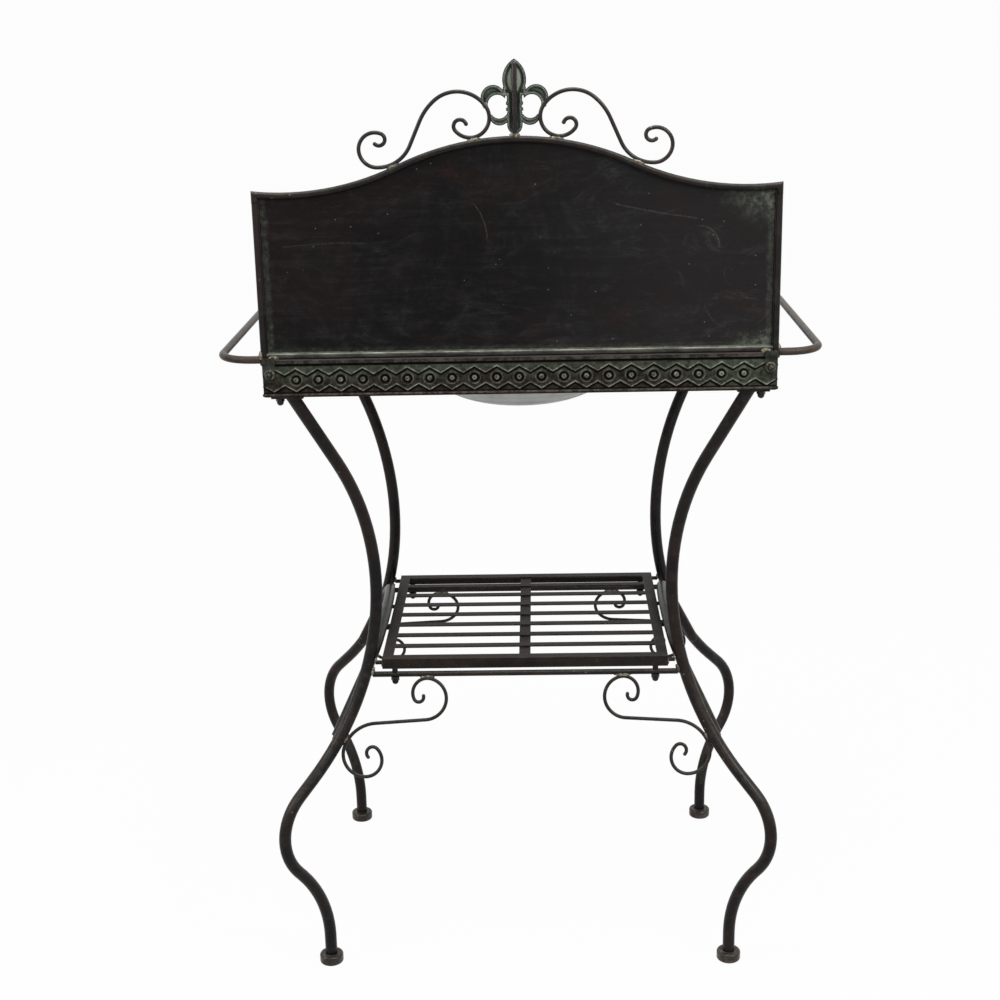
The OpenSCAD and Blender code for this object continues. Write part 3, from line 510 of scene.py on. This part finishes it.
def weld_lacquer(name, colours):
    """Rough weld metal with chalky cream and brown stains."""
    f = Finish(name, 0.2)
    mottle = f.grain(300, detail=7, rough=0.8, shift=2.0)
    cloud = f.grain(120, detail=4, shift=9.0)
    base = f.mix((0.055, 0.040, 0.030), (0.36, 0.34, 0.25), f.band(mottle, 0.40, 0.62))
    base = f.mix(base, colours.brown, f.band(cloud, 0.50, 0.64) * 0.75)
    return f.close(base, 0.5, mottle, 0.6 * MM)


def spun_zinc(name, colours):
    """Dull zinc with darker spun rings about its middle and cloudy oxide."""
    f = Finish(name, 0.35)
    radius = f.distance(f.axis("X"), f.axis("Y"))
    around = f.node("ShaderNodeCombineXYZ", {}, {0: radius, 1: f.axis("Z")})
    rings = f.noise(around, 380, 5, 0.7)
    broad = f.noise(around, 70, 3, 0.6)
    cloud = f.grain(16, detail=6, rough=0.65)
    base = f.mix(colours.zinc, (0.36, 0.365, 0.35), f.band(broad * 0.6 + cloud * 0.4, 0.40, 0.62))
    base = f.mix(base, (0.66, 0.67, 0.65), f.band(rings, 0.54, 0.70) * 0.6)
    base = f.mix(base, (0.12, 0.12, 0.115), f.band(rings, 0.46, 0.38) * 0.5)
    base = f.mix(base, (0.28, 0.29, 0.28), f.band(f.cells(55, 4.0), 0.5, 0.9) * 0.25)
    return f.close(base, 0.50 + cloud * 0.2, rings * 0.7 + broad * 0.3, 0.2 * MM, metal=0.25)


FINISHES = {}


def make_finishes():
    """Makes each finish once, from the colours of the scene's settings."""
    colours = bpy.context.scene.stand_finish
    low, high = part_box("splash_sheet")
    shoulder = low[2] + (high[2] - low[2]) * 0.77
    _, table_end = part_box("tabletop")
    for kind, settings in {
        "tube": {"wear": 0.03, "specular": 0.13, "roughness": 0.24},
        "rod": {"wear": 0.06, "specular": 0.24, "roughness": 0.18, "lift": 0.03, "dust_and_highlight": 0.2},
        "rim": {"wear": 0.05, "specular": 0.16, "roughness": 0.28},
        "foot": {"wear": 0.15, "specular": 0.24, "roughness": 0.18, "lift": 0.20, "dust_and_highlight": 0.2},
        "rail": {"wear": 0.09, "specular": 0.09, "roughness": 0.26, "lift": 0.50},
    }.items():
        FINISHES[kind] = tube_lacquer(kind + "_lacquer", colours, **settings)
    FINISHES["bar"] = bar_lacquer("bar_lacquer", colours, green=0.15, specular=0.09)
    FINISHES["strap"] = bar_lacquer("strap_lacquer", colours, green=0.9, specular=0.12)
    FINISHES["panel"] = panel_lacquer("panel_lacquer", colours, low, high, shoulder)
    FINISHES["table"] = table_lacquer("table_lacquer", colours, table_end)
    FINISHES["roll"] = roll_lacquer("roll_lacquer")
    FINISHES["embossed"] = embossed_lacquer("embossed_lacquer", colours)
    FINISHES["cast"] = cast_lacquer("cast_lacquer")
    FINISHES["weld"] = weld_lacquer("weld_lacquer", colours)
    FINISHES["zinc"] = spun_zinc("spun_zinc", colours)


# ---- the pieces ----
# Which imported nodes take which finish, by the start of their names; the rest take the tube's
PACKED_FINISHES = {
    "panel": ("splash_sheet",),
    "table": ("tabletop",),
    "roll": ("splash_roll",),
    "rim": ("splash_rim", "bracket"),
    "rod": ("crest_scroll", "strap_nuts", "leg_nuts"),
    "weld": ("strap_washers",),
    "foot": ("foot_",),
    "rail": ("rail_",),
    "strap": ("splash_straps", "leg_pads"),
    "bar": ("shelf_angle", "slat_", "shelf_strap", "corner_gussets"),
    "zinc": ("basin",),
    "embossed": ("apron_",),
    "cast": ("finial",),
}


class WASHSTAND_OT_finishes(bpy.types.Operator):
    """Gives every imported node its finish"""

    bl_idname = "washstand.finishes"
    bl_label = "Finish the packed pieces"

    def execute(self, context):
        make_finishes()
        for name, packed in nodes.items():
            kinds = [kind for kind, starts in PACKED_FINISHES.items() if name.startswith(starts)]
            packed.data.materials.clear()
            packed.data.materials.append(FINISHES[kinds[0] if kinds else "tube"])
        return {"FINISHED"}


# Pressed round each boss: its dimple's radius, the moat's place and half width, the ring's half width
DIMPLE = 0.9 * MM
MOAT_OUT = 1.3 * MM
MOAT_WIDTH = 1.4 * MM
RING_WIDTH = 1.1 * MM


def emboss(along, over, pitch, shapes, bare):
    """Height of the pressed pattern over the sheet's face, and how dark its hollows are painted, as shade.

    along and over are measured from the motif's middle; a bare motif has no boss and ring.
    """
    half = pitch / 2
    line = shapes.valley + shapes.rise * (1 - abs(along) / half)
    steep = half / math.hypot(half, shapes.rise)
    above = (over - (line if over > 0 else -line)) * steep
    # A rib along each zigzag, with a groove under it that is painted dark as shade
    rib = math.exp(-((above / (shapes.rib_width * 0.40)) ** 2))
    below = math.exp(-(((above + shapes.rib_width * 0.86) / (shapes.rib_width * 0.56)) ** 6))
    height = rib - 0.6 * below
    if bare:
        return height * shapes.relief, below
    # The boss's dimple and the moat round it are painted dark as shade too
    out = math.hypot(along, over)
    if out < shapes.boss_radius:
        dome = math.sqrt(max(0.0, 1 - (out / shapes.boss_radius) ** 2))
        dimple = math.exp(-((out / DIMPLE) ** 2))
        return shapes.relief * (0.25 + 0.75 * dome**0.6 - 0.8 * dimple), dimple
    moat = math.exp(-(((out - shapes.boss_radius - MOAT_OUT) / MOAT_WIDTH) ** 6))
    ring = math.exp(-(((out - shapes.ring_radius) / RING_WIDTH) ** 2))
    if moat > 0.3:
        return shapes.relief * (-0.6 * moat), moat
    return shapes.relief * max(height - 0.6 * moat, 0.5 * ring), max(moat, below * (1 - ring))


# An apron strip's mesh: rows above its hem, rows round the hem (out in mm, up as a share), columns
WEB_ROWS = 42
HEM_ROWS = ((-0.35, 0.88), (0, 0.68), (0, 0.3), (-0.35, 0.09), (-1.3, 0))
MOTIF_COLUMNS = 30
# What the relief attribute says of the flats and of the hem, where a rib's crest is 1
FLAT_TONE = 0.34
HEM_TONE = 0.52


class WASHSTAND_OT_aprons(bpy.types.Operator):
    """Presses the four apron strips from sheet, with zigzags, rings and bosses"""

    bl_idname = "washstand.aprons"
    bl_label = "Aprons"

    def execute(self, context):
        shapes = context.scene.stand_shapes
        low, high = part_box("tabletop")
        width, depth = high[0] - low[0], high[1] - low[1]
        for name, run, out, turn in (
            ("apron_back", width, depth, 0),
            ("apron_front", width, depth, 180),
            ("apron_left", depth, width, 90),
            ("apron_right", depth, width, -90),
        ):
            place = Matrix.Rotation(math.radians(turn), 4, "Z") @ Matrix.Translation((0, out / 2, 0))
            bm = self.strip(shapes, name, run)
            bmesh.ops.transform(bm, matrix=place, verts=bm.verts)
            piece = add_piece(name + "_pressed", bm, "embossed")
            wall = piece.modifiers.new("wall", "SOLIDIFY")
            wall.thickness = shapes.sheet
            wall.offset = -1
            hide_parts(name)
        return {"FINISHED"}

    def strip(self, shapes, name, run):
        """One strip along X, its pressed face towards +Y."""
        low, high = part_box(name)
        bottom, top = low[2], high[2]
        count = round(run / shapes.motif_pitch)
        pitch = run / count
        middle = bottom + shapes.motif_middle
        hem_top = bottom + shapes.hem
        rows = [
            (-shapes.relief, top + (hem_top - top) * i / WEB_ROWS) for i in range(WEB_ROWS + 1)
        ]
        for out, up in HEM_ROWS:
            rows.append((out * MM, bottom + up * shapes.hem))
        rows.append((-shapes.fold, bottom))
        bm = bmesh.new()
        bmesh.ops.create_grid(bm, x_segments=count * MOTIF_COLUMNS, y_segments=len(rows) - 1, size=1)
        relief_layer, painted_shade_layer, over_layer = (
            bm.verts.layers.float.new(key) for key in ("relief", "painted_shade", "over")
        )
        for vert in bm.verts:
            row = round((vert.co.y + 1) / 2 * (len(rows) - 1))
            out, up = rows[row]
            x = vert.co.x * run / 2
            tone, painted_shade = FLAT_TONE, 0.0
            if row <= WEB_ROWS:
                motif = min(count - 1, int((x + run / 2) / pitch))
                along = x + run / 2 - (motif + 0.5) * pitch
                bare = name == "apron_back" and motif in (0, count - 1)
                height, painted_shade = emboss(along, up - middle, pitch, shapes, bare)
                # The pressing fades out towards the strip's edges
                fade = min(1.0, row / 2, (WEB_ROWS - row) / 2)
                fade *= max(0.0, min(1.0, (run / 2 - abs(x)) / (3 * MM) - 0.3))
                height *= fade
                out += min(height, shapes.relief) + 0.07 * MM * bump_at((x, up, 0), 12 * MM)
                tone += (1 - FLAT_TONE) * height / shapes.relief
                # Painted shade: the web is painted dark under the table's edge and just above the hem
                shade = max(2.6 - row / 1.7, 1 - abs(WEB_ROWS - 1 - row) / 1.6, 0.0)
                painted_shade = min(1.0, max(painted_shade * fade, shade))
            elif row < WEB_ROWS + len(HEM_ROWS):
                tone = HEM_TONE
                # The hem is painted darker towards its bottom, as shade where it turns under
                painted_shade = max(0.0, (row - WEB_ROWS - 2.2) / 1.8)
            # The lower corners are rounded
            past = max(0.0, abs(x) - run / 2 + shapes.corner)
            up = max(up, bottom + shapes.corner - math.sqrt(max(0.0, shapes.corner**2 - past**2)))
            vert[relief_layer] = tone
            vert[painted_shade_layer] = painted_shade
            vert[over_layer] = (up - bottom) / (top - bottom)
            vert.co = Vector((x * (run / 2 + out) / (run / 2), min(out, 0.0), up))
        bm.normal_update()
        if sum(face.normal.y * face.calc_area() for face in bm.faces) < 0:
            bmesh.ops.reverse_faces(bm, faces=bm.faces)
        return bm


def disc(x, z, cx, cz, radius):
    """Signed distance to a disc, in the outline's millimetres."""
    return math.hypot(x - cx, z - cz) - radius


def block(x, z, x0, x1, z0, z1):
    """Signed distance to a rectangle."""
    return max(x0 - x, x - x1, z0 - z, z - z1)


# The finial's drawing, in millimetres from the middle of its foot
FLEUR_HALF_WIDTH = 43
FLEUR_HEIGHT = 92


def fleur(x, z):
    """Signed distance to the finial's outline."""
    x = abs(x)
    petal = disc(x, z, -14, 67, 28.7)
    tail = max(disc(x, z, -3, 13, 12.6), -z)
    stub = block(x, z, -1, 4, 0, 6)
    horn = max(disc(x, z, 26.5, 46, 15.2), 36.5 - z)
    hook = max(disc(x, z, 18.8, 25.5, 13.3), z - 25.5)
    neck = min(block(x, z, -1, 9.5, 12, 60), block(x, z, -1, 14.2, 48, 58.4))
    eye = min(
        disc(x, z, 21.2 - 1.9 * t, 37.3 - 6.1 * t, 11.9 - 1.3 * t) for t in (0, 0.25, 0.5, 0.75, 1)
    )
    side = max(min(horn, hook, neck), -eye, -block(x, z, 30, 60, 25.4, 36.6))
    bands = min(block(x, z, -1, 10.6, 36.8, 40.8), block(x, z, -1, 10.6, 29.6, 33.6))
    return min(petal, tail, stub, side, bands)


class WASHSTAND_OT_finial(bpy.types.Operator):
    """Casts the fleur-de-lis with ridged petals, and lays a round rib down its middle"""

    bl_idname = "washstand.finial"
    bl_label = "Finial"

    def execute(self, context):
        shapes = context.scene.stand_shapes
        low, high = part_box("finial")
        rib_radius = shapes.rib_radius
        rib_y = high[1] - rib_radius
        thick = shapes.petal_middle
        middle_y = low[1] + thick
        step = 0.9
        across = 2 * round(FLEUR_HALF_WIDTH / step)
        tall = round((FLEUR_HEIGHT + 1) / step)
        bm = bmesh.new()
        bmesh.ops.create_grid(bm, x_segments=across, y_segments=tall, size=0.5)
        for vert in bm.verts:
            vert.co = Vector((vert.co.x * across * step, 0, (vert.co.y + 0.5) * tall * step))
        middles = ((face, face.calc_center_median()) for face in bm.faces)
        outside = [face for face, middle in middles if fleur(middle.x, middle.z) > 0]
        bmesh.ops.delete(bm, geom=outside, context="FACES")
        for _ in range(3):
            for vert in bm.verts:
                if vert.is_boundary or fleur(vert.co.x, vert.co.z) > 0:
                    self.pull_in(vert)
        layer = bm.verts.layers.float.new("relief")
        edge = shapes.petal_edge / MM
        for vert in bm.verts:
            # The plate swells within 1.5 mm of its outline, and a groove follows 4.4 mm inside it
            deep = max(0.0, -fleur(vert.co.x, vert.co.z))
            swell = min(deep, 1.5) / 1.5
            hollow = 0.85 * math.exp(-(((deep - 4.4) / 1.9) ** 2))
            half = edge + (thick / MM - edge) * swell**0.7 - hollow
            vert.co.y = -half
            # The relief attribute is low along the outline, which the finish paints dark as shade, and in the
            # groove
            vert[layer] = max(0.0, min(1.0, swell * 0.9 - hollow * 0.75 + 0.06 * math.sin(deep * 2.6)))
        made = bmesh.ops.extrude_face_region(bm, geom=bm.faces[:])
        for vert in (v for v in made["geom"] if isinstance(v, bmesh.types.BMVert)):
            vert.co.y = -vert.co.y
        bmesh.ops.remove_doubles(bm, verts=bm.verts, dist=0.01)
        bmesh.ops.recalc_face_normals(bm, faces=bm.faces)
        scale = (high[2] - low[2]) / FLEUR_HEIGHT
        place = Matrix.Translation((0, middle_y, low[2])) @ Matrix.Diagonal((scale, scale, scale, 1))
        bmesh.ops.transform(bm, matrix=place, verts=bm.verts)
        for vert in bm.verts:
            vert.co.y = max(middle_y - thick, min(middle_y + thick, vert.co.y))
        plate = add_piece("finial_cast", bm, "cast")
        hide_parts("finial")
        rib = bmesh.new()
        foot = Vector((0, rib_y, low[2] + rib_radius))
        head = Vector((0, rib_y, high[2] - 2 * rib_radius))
        rod_capsule(rib, foot, head, rib_radius)
        add_piece("finial_rib", rib, "rod")
        return {"FINISHED"}

    def pull_in(self, vert):
        """Moves a vertex on the border towards the outline, down its slope, a step at most."""
        reach, step = 0.25, 0.8
        x, z = vert.co.x, vert.co.z
        rise_x = fleur(x + reach, z) - fleur(x - reach, z)
        rise_z = fleur(x, z + reach) - fleur(x, z - reach)
        slope = Vector((rise_x, 0, rise_z))
        if slope.length > 0.05:
            vert.co -= slope.normalized() * max(-step, min(step, fleur(x, z)))


def rod_capsule(bm, start, end, radius):
    """Adds a round-ended rod between two points."""
    run = end - start
    turn = Vector((0, 0, 1)).rotation_difference(run.normalized()).to_matrix().to_4x4()
    made = bmesh.ops.create_uvsphere(bm, u_segments=24, v_segments=16, radius=radius)["verts"]
    for vert in made:
        if vert.co.z > radius * 0.01:
            vert.co.z += run.length
    bmesh.ops.transform(bm, matrix=Matrix.Translation(start) @ turn, verts=made)


def mitred_bend(bm, corner, first, second, radius, reach):
    """Adds a sharp bend in round bar; first and second point along its arms, reach long."""
    start = corner + first * reach
    turn = Vector((0, 0, 1)).rotation_difference(first).to_matrix().to_4x4()
    made = bmesh.ops.create_circle(
        bm, cap_ends=True, segments=32, radius=radius, matrix=Matrix.Translation(start) @ turn
    )
    ring = made["verts"]
    edges = list({edge for vert in ring for edge in vert.link_edges})
    mitre = (first - second).normalized()
    for along, stop in ((-first, mitre), (second, second)):
        grown = bmesh.ops.extrude_edge_only(bm, edges=edges)["geom"]
        ring = [v for v in grown if isinstance(v, bmesh.types.BMVert)]
        edges = [e for e in grown if isinstance(e, bmesh.types.BMEdge)]
        edges = [e for e in edges if all(v in ring for v in e.verts)]
        target = corner if stop is mitre else corner + second * reach
        for vert in ring:
            vert.co += along * ((target - vert.co).dot(stop) / along.dot(stop))
        for edge in edges:
            edge.smooth = False
    bmesh.ops.holes_fill(bm, edges=edges, sides=64)
    bmesh.ops.recalc_face_normals(bm, faces=bm.faces)


class WASHSTAND_OT_rim_corners(bpy.types.Operator):
    """Squares the mitred corners of the rim bar"""

    bl_idname = "washstand.rim_corners"
    bl_label = "Rim corners"

    def execute(self, context):
        shapes = context.scene.stand_shapes
        low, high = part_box("splash_rim")
        radius = (high[1] - low[1]) / 2
        sheet_low, sheet_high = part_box("splash_sheet")
        seam_y = (sheet_low[1] + sheet_high[1]) / 2
        fall = 0.103  # of the bar, for each unit inward from its corner
        bm = bmesh.new()
        for side in (-1, 1):
            corner = Vector((side * (high[0] - radius), high[1] - radius, shapes.corner_height))
            inward = Vector((-side, 0, -fall)).normalized()
            mitred_bend(bm, corner, Vector((0, 0, -1)), inward, radius * 1.02, 11 * MM)
            # Solder closes the slit between the sheet's edge and the bar
            seam_x = side * (sheet_high[0] + 0.2 * MM)
            foot = Vector((seam_x, seam_y, sheet_low[2] + 2 * MM))
            head = Vector((seam_x, seam_y, shapes.corner_height - 4 * MM))
            rod_capsule(bm, foot, head, 1.2 * MM)
        add_piece("rim_corners", bm, "rim")
        return {"FINISHED"}


# ---- welds ----
def surface_of(name):
    """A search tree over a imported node's faces."""
    mesh = nodes[name].data
    points = [v.co.copy() for v in mesh.vertices]
    return BVHTree.FromPolygons(points, [tuple(p.vertices) for p in mesh.polygons])


def contacts(first, second, reach=1.4 * MM, apart=16 * MM):
    """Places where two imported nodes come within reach: (middle, direction from second to first)."""
    tree = surface_of(second)
    near = []
    for vert in nodes[first].data.vertices:
        found, normal, _, away = tree.find_nearest(vert.co, reach)
        if found is not None:
            near.append((away, (vert.co + found) / 2, normal))
    near.sort(key=lambda item: item[0])
    kept = []
    for _, middle, normal in near:
        if all((middle - other).length > apart for other, _ in kept):
            kept.append((middle, normal))
    return kept


def bead(bm, middle, along, out, sizes, seed):
    """Adds one lumpy bead of weld metal; sizes are its half lengths along, across and out."""
    made = bmesh.ops.create_icosphere(bm, subdivisions=3, radius=1)["verts"]
    out = out.normalized()
    along = (along - out * along.dot(out)).normalized()
    across = out.cross(along)
    for vert in made:
        ripple = 0.10 * math.sin(vert.co.x * 9 + seed) + 0.16 * bump_at(vert.co, 0.7, seed)
        shape = vert.co * (1 + ripple)
        vert.co = middle + along * shape.x * sizes[0] + across * shape.y * sizes[1]
        vert.co += out * shape.z * sizes[2]


class WASHSTAND_OT_welds(bpy.types.Operator):
    """Lays weld beads wherever a rod meets what carries it"""

    bl_idname = "washstand.welds"
    bl_label = "Weld beads"

    def execute(self, context):
        size = context.scene.stand_shapes.weld
        x_way, y_way, z_way = (Vector(way) for way in ((1, 0, 0), (0, 1, 0), (0, 0, 1)))
        # What is welded, to what, the bead's half lengths along, across and out, and its direction
        jobs = [("finial", "splash_rim", (1.9, 1.2, 0.9), x_way)]
        jobs.append(("splash_straps", "splash_roll", (1.6, 0.9, 0.5), x_way))
        for side in SIDES:
            jobs.append(("crest_scroll_" + side, "splash_rim", (2.2, 0.9, 0.7), x_way))
            jobs.append(("crest_scroll_" + side, "finial", (1.0, 0.9, 0.6), z_way))
            jobs.append(("rail_" + side, "splash_rim", (1.5, 1.5, 0.7), z_way))
            jobs.append(("rail_" + side, "tabletop", (1.6, 1.3, 0.6), y_way))
            jobs.append(("arch_pegs", "arch_" + side, (1.1, 1.1, 0.7), y_way))
        for corner in CORNERS:
            leg, crossbar = "leg_" + corner, "crossbar_" + corner.split("_")[0]
            jobs.append(("bracket_" + corner, crossbar, (2.9, 0.9, 0.8), x_way))
            jobs.append(("bracket_" + corner, leg, (2.0, 0.9, 0.8), z_way))
            jobs.append((crossbar, leg, (1.7, 1.6, 0.8), z_way))
            jobs.append(("shelf_pegs", leg, (1.1, 1.1, 0.6), z_way))
        for side in ("front", "back", "left", "right"):
            jobs.append(("shelf_pegs", "shelf_angle_" + side, (1.1, 1.1, 0.5), z_way))
        bm = bmesh.new()
        seed = 1.0
        for first, second, shape, along in jobs:
            for middle, normal in contacts(first, second):
                sizes = [size * part for part in shape]
                bead(bm, middle, along, normal, sizes, seed)
                seed += 2.3
        add_piece("weld_beads", bm, "weld")
        return {"FINISHED"}


# ---- rod tips ----
def flat_ends(name, radius):
    """Middle and direction of each flat round end that a packed rod has.

    The corners of an end's triangles lie on its circle, so their circumcentre is its middle.
    """
    mesh = nodes[name].data
    mesh.calc_loop_triangles()
    ends = {}
    for triangle in mesh.loop_triangles:
        first, second, third = (mesh.vertices[i].co for i in triangle.vertices)
        u, v = second - first, third - first
        cross = u.cross(v)
        if cross.length < 1e-12:  # a sliver has no circle
            continue
        to_middle = (v.length_squared * cross.cross(u) + u.length_squared * v.cross(cross)) / (
            2 * cross.length_squared
        )
        if abs(to_middle.length / radius - 1) > 0.03:
            continue
        middle = first + to_middle
        key = tuple(round(c / (0.2 * MM)) for c in middle)
        area = ends.get(key, (0.0,))[0] + triangle.area
        ends[key] = (area, middle, cross.normalized())
    disc_area = math.pi * radius * radius
    return [(middle, out) for area, middle, out in ends.values() if area > 0.8 * disc_area]


class WASHSTAND_OT_rod_tips(bpy.types.Operator):
    """Rounds the ends of the scrolled rods"""

    bl_idname = "washstand.rod_tips"
    bl_label = "Rod tips"

    def execute(self, context):
        scrolls = ["crest_scroll_" + side for side in SIDES] + ["bracket_" + c for c in CORNERS]
        bm = bmesh.new()
        for name in scrolls:
            for middle, normal in flat_ends(name, SCROLL_RADIUS):
                inside, outside = middle - normal * 0.4 * MM, middle + normal * 0.3 * MM
                rod_capsule(bm, inside, outside, SCROLL_RADIUS * 1.04)
        add_piece("rod_tips", bm, "rod")
        return {"FINISHED"}


# ---- stage ----
class WASHSTAND_OT_stage(bpy.types.Operator):
    """Sets the white sweep, the softboxes, the world and the camera"""

    bl_idname = "washstand.stage"
    bl_label = "Stage"

    def execute(self, context):
        settings = context.scene.stand_stage
        self.sweep()
        self.world(settings)
        for name, place, side, share in (
            ("key_softbox", (-2.0, 2.1, 2.9), 0.9, 1.0),
            ("left_softbox", (2.6, 1.5, 1.9), 0.8, 0.4),
            ("top_softbox", (0, 0.6, 3.1), 1.2, 0.7),
        ):
            self.softbox(name, Vector(place), side, settings.key_power * share)
        self.camera(settings)
        context.scene.view_settings.view_transform = "Standard"
        return {"FINISHED"}

    def sweep(self):
        """A floor that curves up into a backdrop."""
        half, height, bend = 9, 4, 1.2
        bm = bmesh.new()
        bmesh.ops.create_grid(bm, x_segments=1, y_segments=1, size=half)
        behind = [e for e in bm.edges if all(v.co.y < -half * 0.99 for v in e.verts)]
        raised = bmesh.ops.extrude_edge_only(bm, edges=behind)["geom"]
        up = [v for v in raised if isinstance(v, bmesh.types.BMVert)]
        bmesh.ops.translate(bm, vec=(0, 0, height), verts=up)
        bmesh.ops.bevel(
            bm, geom=behind, offset=bend, segments=12, profile=0.5, affect="EDGES", material=-1
        )
        bmesh.ops.recalc_face_normals(bm, faces=bm.faces)
        make_object("sweep", bm, self.paper())

    def paper(self):
        """White paper that the camera and reflections see nearly full white."""
        f = Finish("white_paper", 0.1)
        f.fill(f.shader, {"Base Color": (0.6, 0.6, 0.6, 1), "Roughness": 0.9})
        glow = f.node("ShaderNodeEmission", {}, {"Color": WHITE, "Strength": 1.0})
        shaded = Wire(f, f.shader.outputs[0])
        blend = f.node("ShaderNodeMixShader", {}, {0: f.seen() * 0.97, 1: shaded, 2: glow})
        f.end("ShaderNodeOutputMaterial", blend)
        return f.material

    def world(self, settings):
        """White where it is seen, and a dimmer light on the stand."""
        world = bpy.data.worlds.new("studio")
        world.use_nodes = True
        graph = Graph(world.node_tree)
        ambient, backdrop = (
            graph.node("ShaderNodeBackground", {}, {"Color": WHITE, "Strength": strength})
            for strength in (settings.ambient, 1.0)
        )
        blend = graph.node("ShaderNodeMixShader", {}, {0: graph.seen(), 1: ambient, 2: backdrop})
        graph.end("ShaderNodeOutputWorld", blend)
        bpy.context.scene.world = world

    def softbox(self, name, place, side, power):
        """A square lamp that points at the middle of the stand."""
        lamp = bpy.data.lights.new(name, "AREA")
        lamp.shape = "SQUARE"
        lamp.size = side
        lamp.energy = power
        box = bpy.data.objects.new(name, lamp)
        bpy.context.scene.collection.objects.link(box)
        box.location = place
        middle = Vector((0, 0, 0.75))
        box.rotation_euler = (middle - place).to_track_quat("-Z", "Y").to_euler()

    def camera(self, settings):
        """Looks at the back of the stand from the photograph's eye."""
        lens = bpy.data.cameras.new("photo_camera")
        lens.sensor_width = 36
        lens.lens = settings.focal
        view = bpy.data.objects.new("photo_camera", lens)
        bpy.context.scene.collection.objects.link(view)
        heading, pitch, roll = settings.heading, settings.pitch, settings.roll
        level = math.cos(pitch)
        ahead = Vector((math.sin(heading) * level, -math.cos(heading) * level, -math.sin(pitch)))
        right = ahead.cross(Vector((0, 0, 1))).normalized()
        up = right.cross(ahead)
        right, up = (
            right * math.cos(roll) + up * math.sin(roll),
            up * math.cos(roll) - right * math.sin(roll),
        )
        turned = Matrix((right, up, -ahead)).transposed().to_4x4()
        view.matrix_world = Matrix.Translation(settings.eye) @ turned
        bpy.context.scene.camera = view


STEPS = (
    WASHSTAND_OT_finishes,
    WASHSTAND_OT_aprons,
    WASHSTAND_OT_finial,
    WASHSTAND_OT_rim_corners,
    WASHSTAND_OT_welds,
    WASHSTAND_OT_rod_tips,
    WASHSTAND_OT_stage,
)
SETTINGS = {"stand_shapes": StandShapes, "stand_finish": StandFinish, "stand_stage": StandStage}


class WASHSTAND_PT_panel(bpy.types.Panel):
    """Lists the stand's settings and steps"""

    bl_label = "Wash basin stand"
    bl_idname = "WASHSTAND_PT_panel"
    bl_space_type = "VIEW_3D"
    bl_region_type = "UI"
    bl_category = "Wash stand"

    def draw(self, context):
        for setting in SETTINGS:
            group = getattr(context.scene, setting)
            box = self.layout.box()
            for key in group.__annotations__:
                box.prop(group, key)
        for step in STEPS:
            self.layout.operator(step.bl_idname)


CLASSES = (*SETTINGS.values(), *STEPS, WASHSTAND_PT_panel)


def register():
    for made in CLASSES:
        bpy.utils.register_class(made)
    for setting, group in SETTINGS.items():
        setattr(bpy.types.Scene, setting, PointerProperty(type=group))


def unregister():
    for setting in SETTINGS:
        delattr(bpy.types.Scene, setting)
    for made in reversed(CLASSES):
        bpy.utils.unregister_class(made)


def main():
    register()
    for step in STEPS:
        family, name = step.bl_idname.split(".")
        getattr(getattr(bpy.ops, family), name)()


if __name__ == "__main__":
    main()
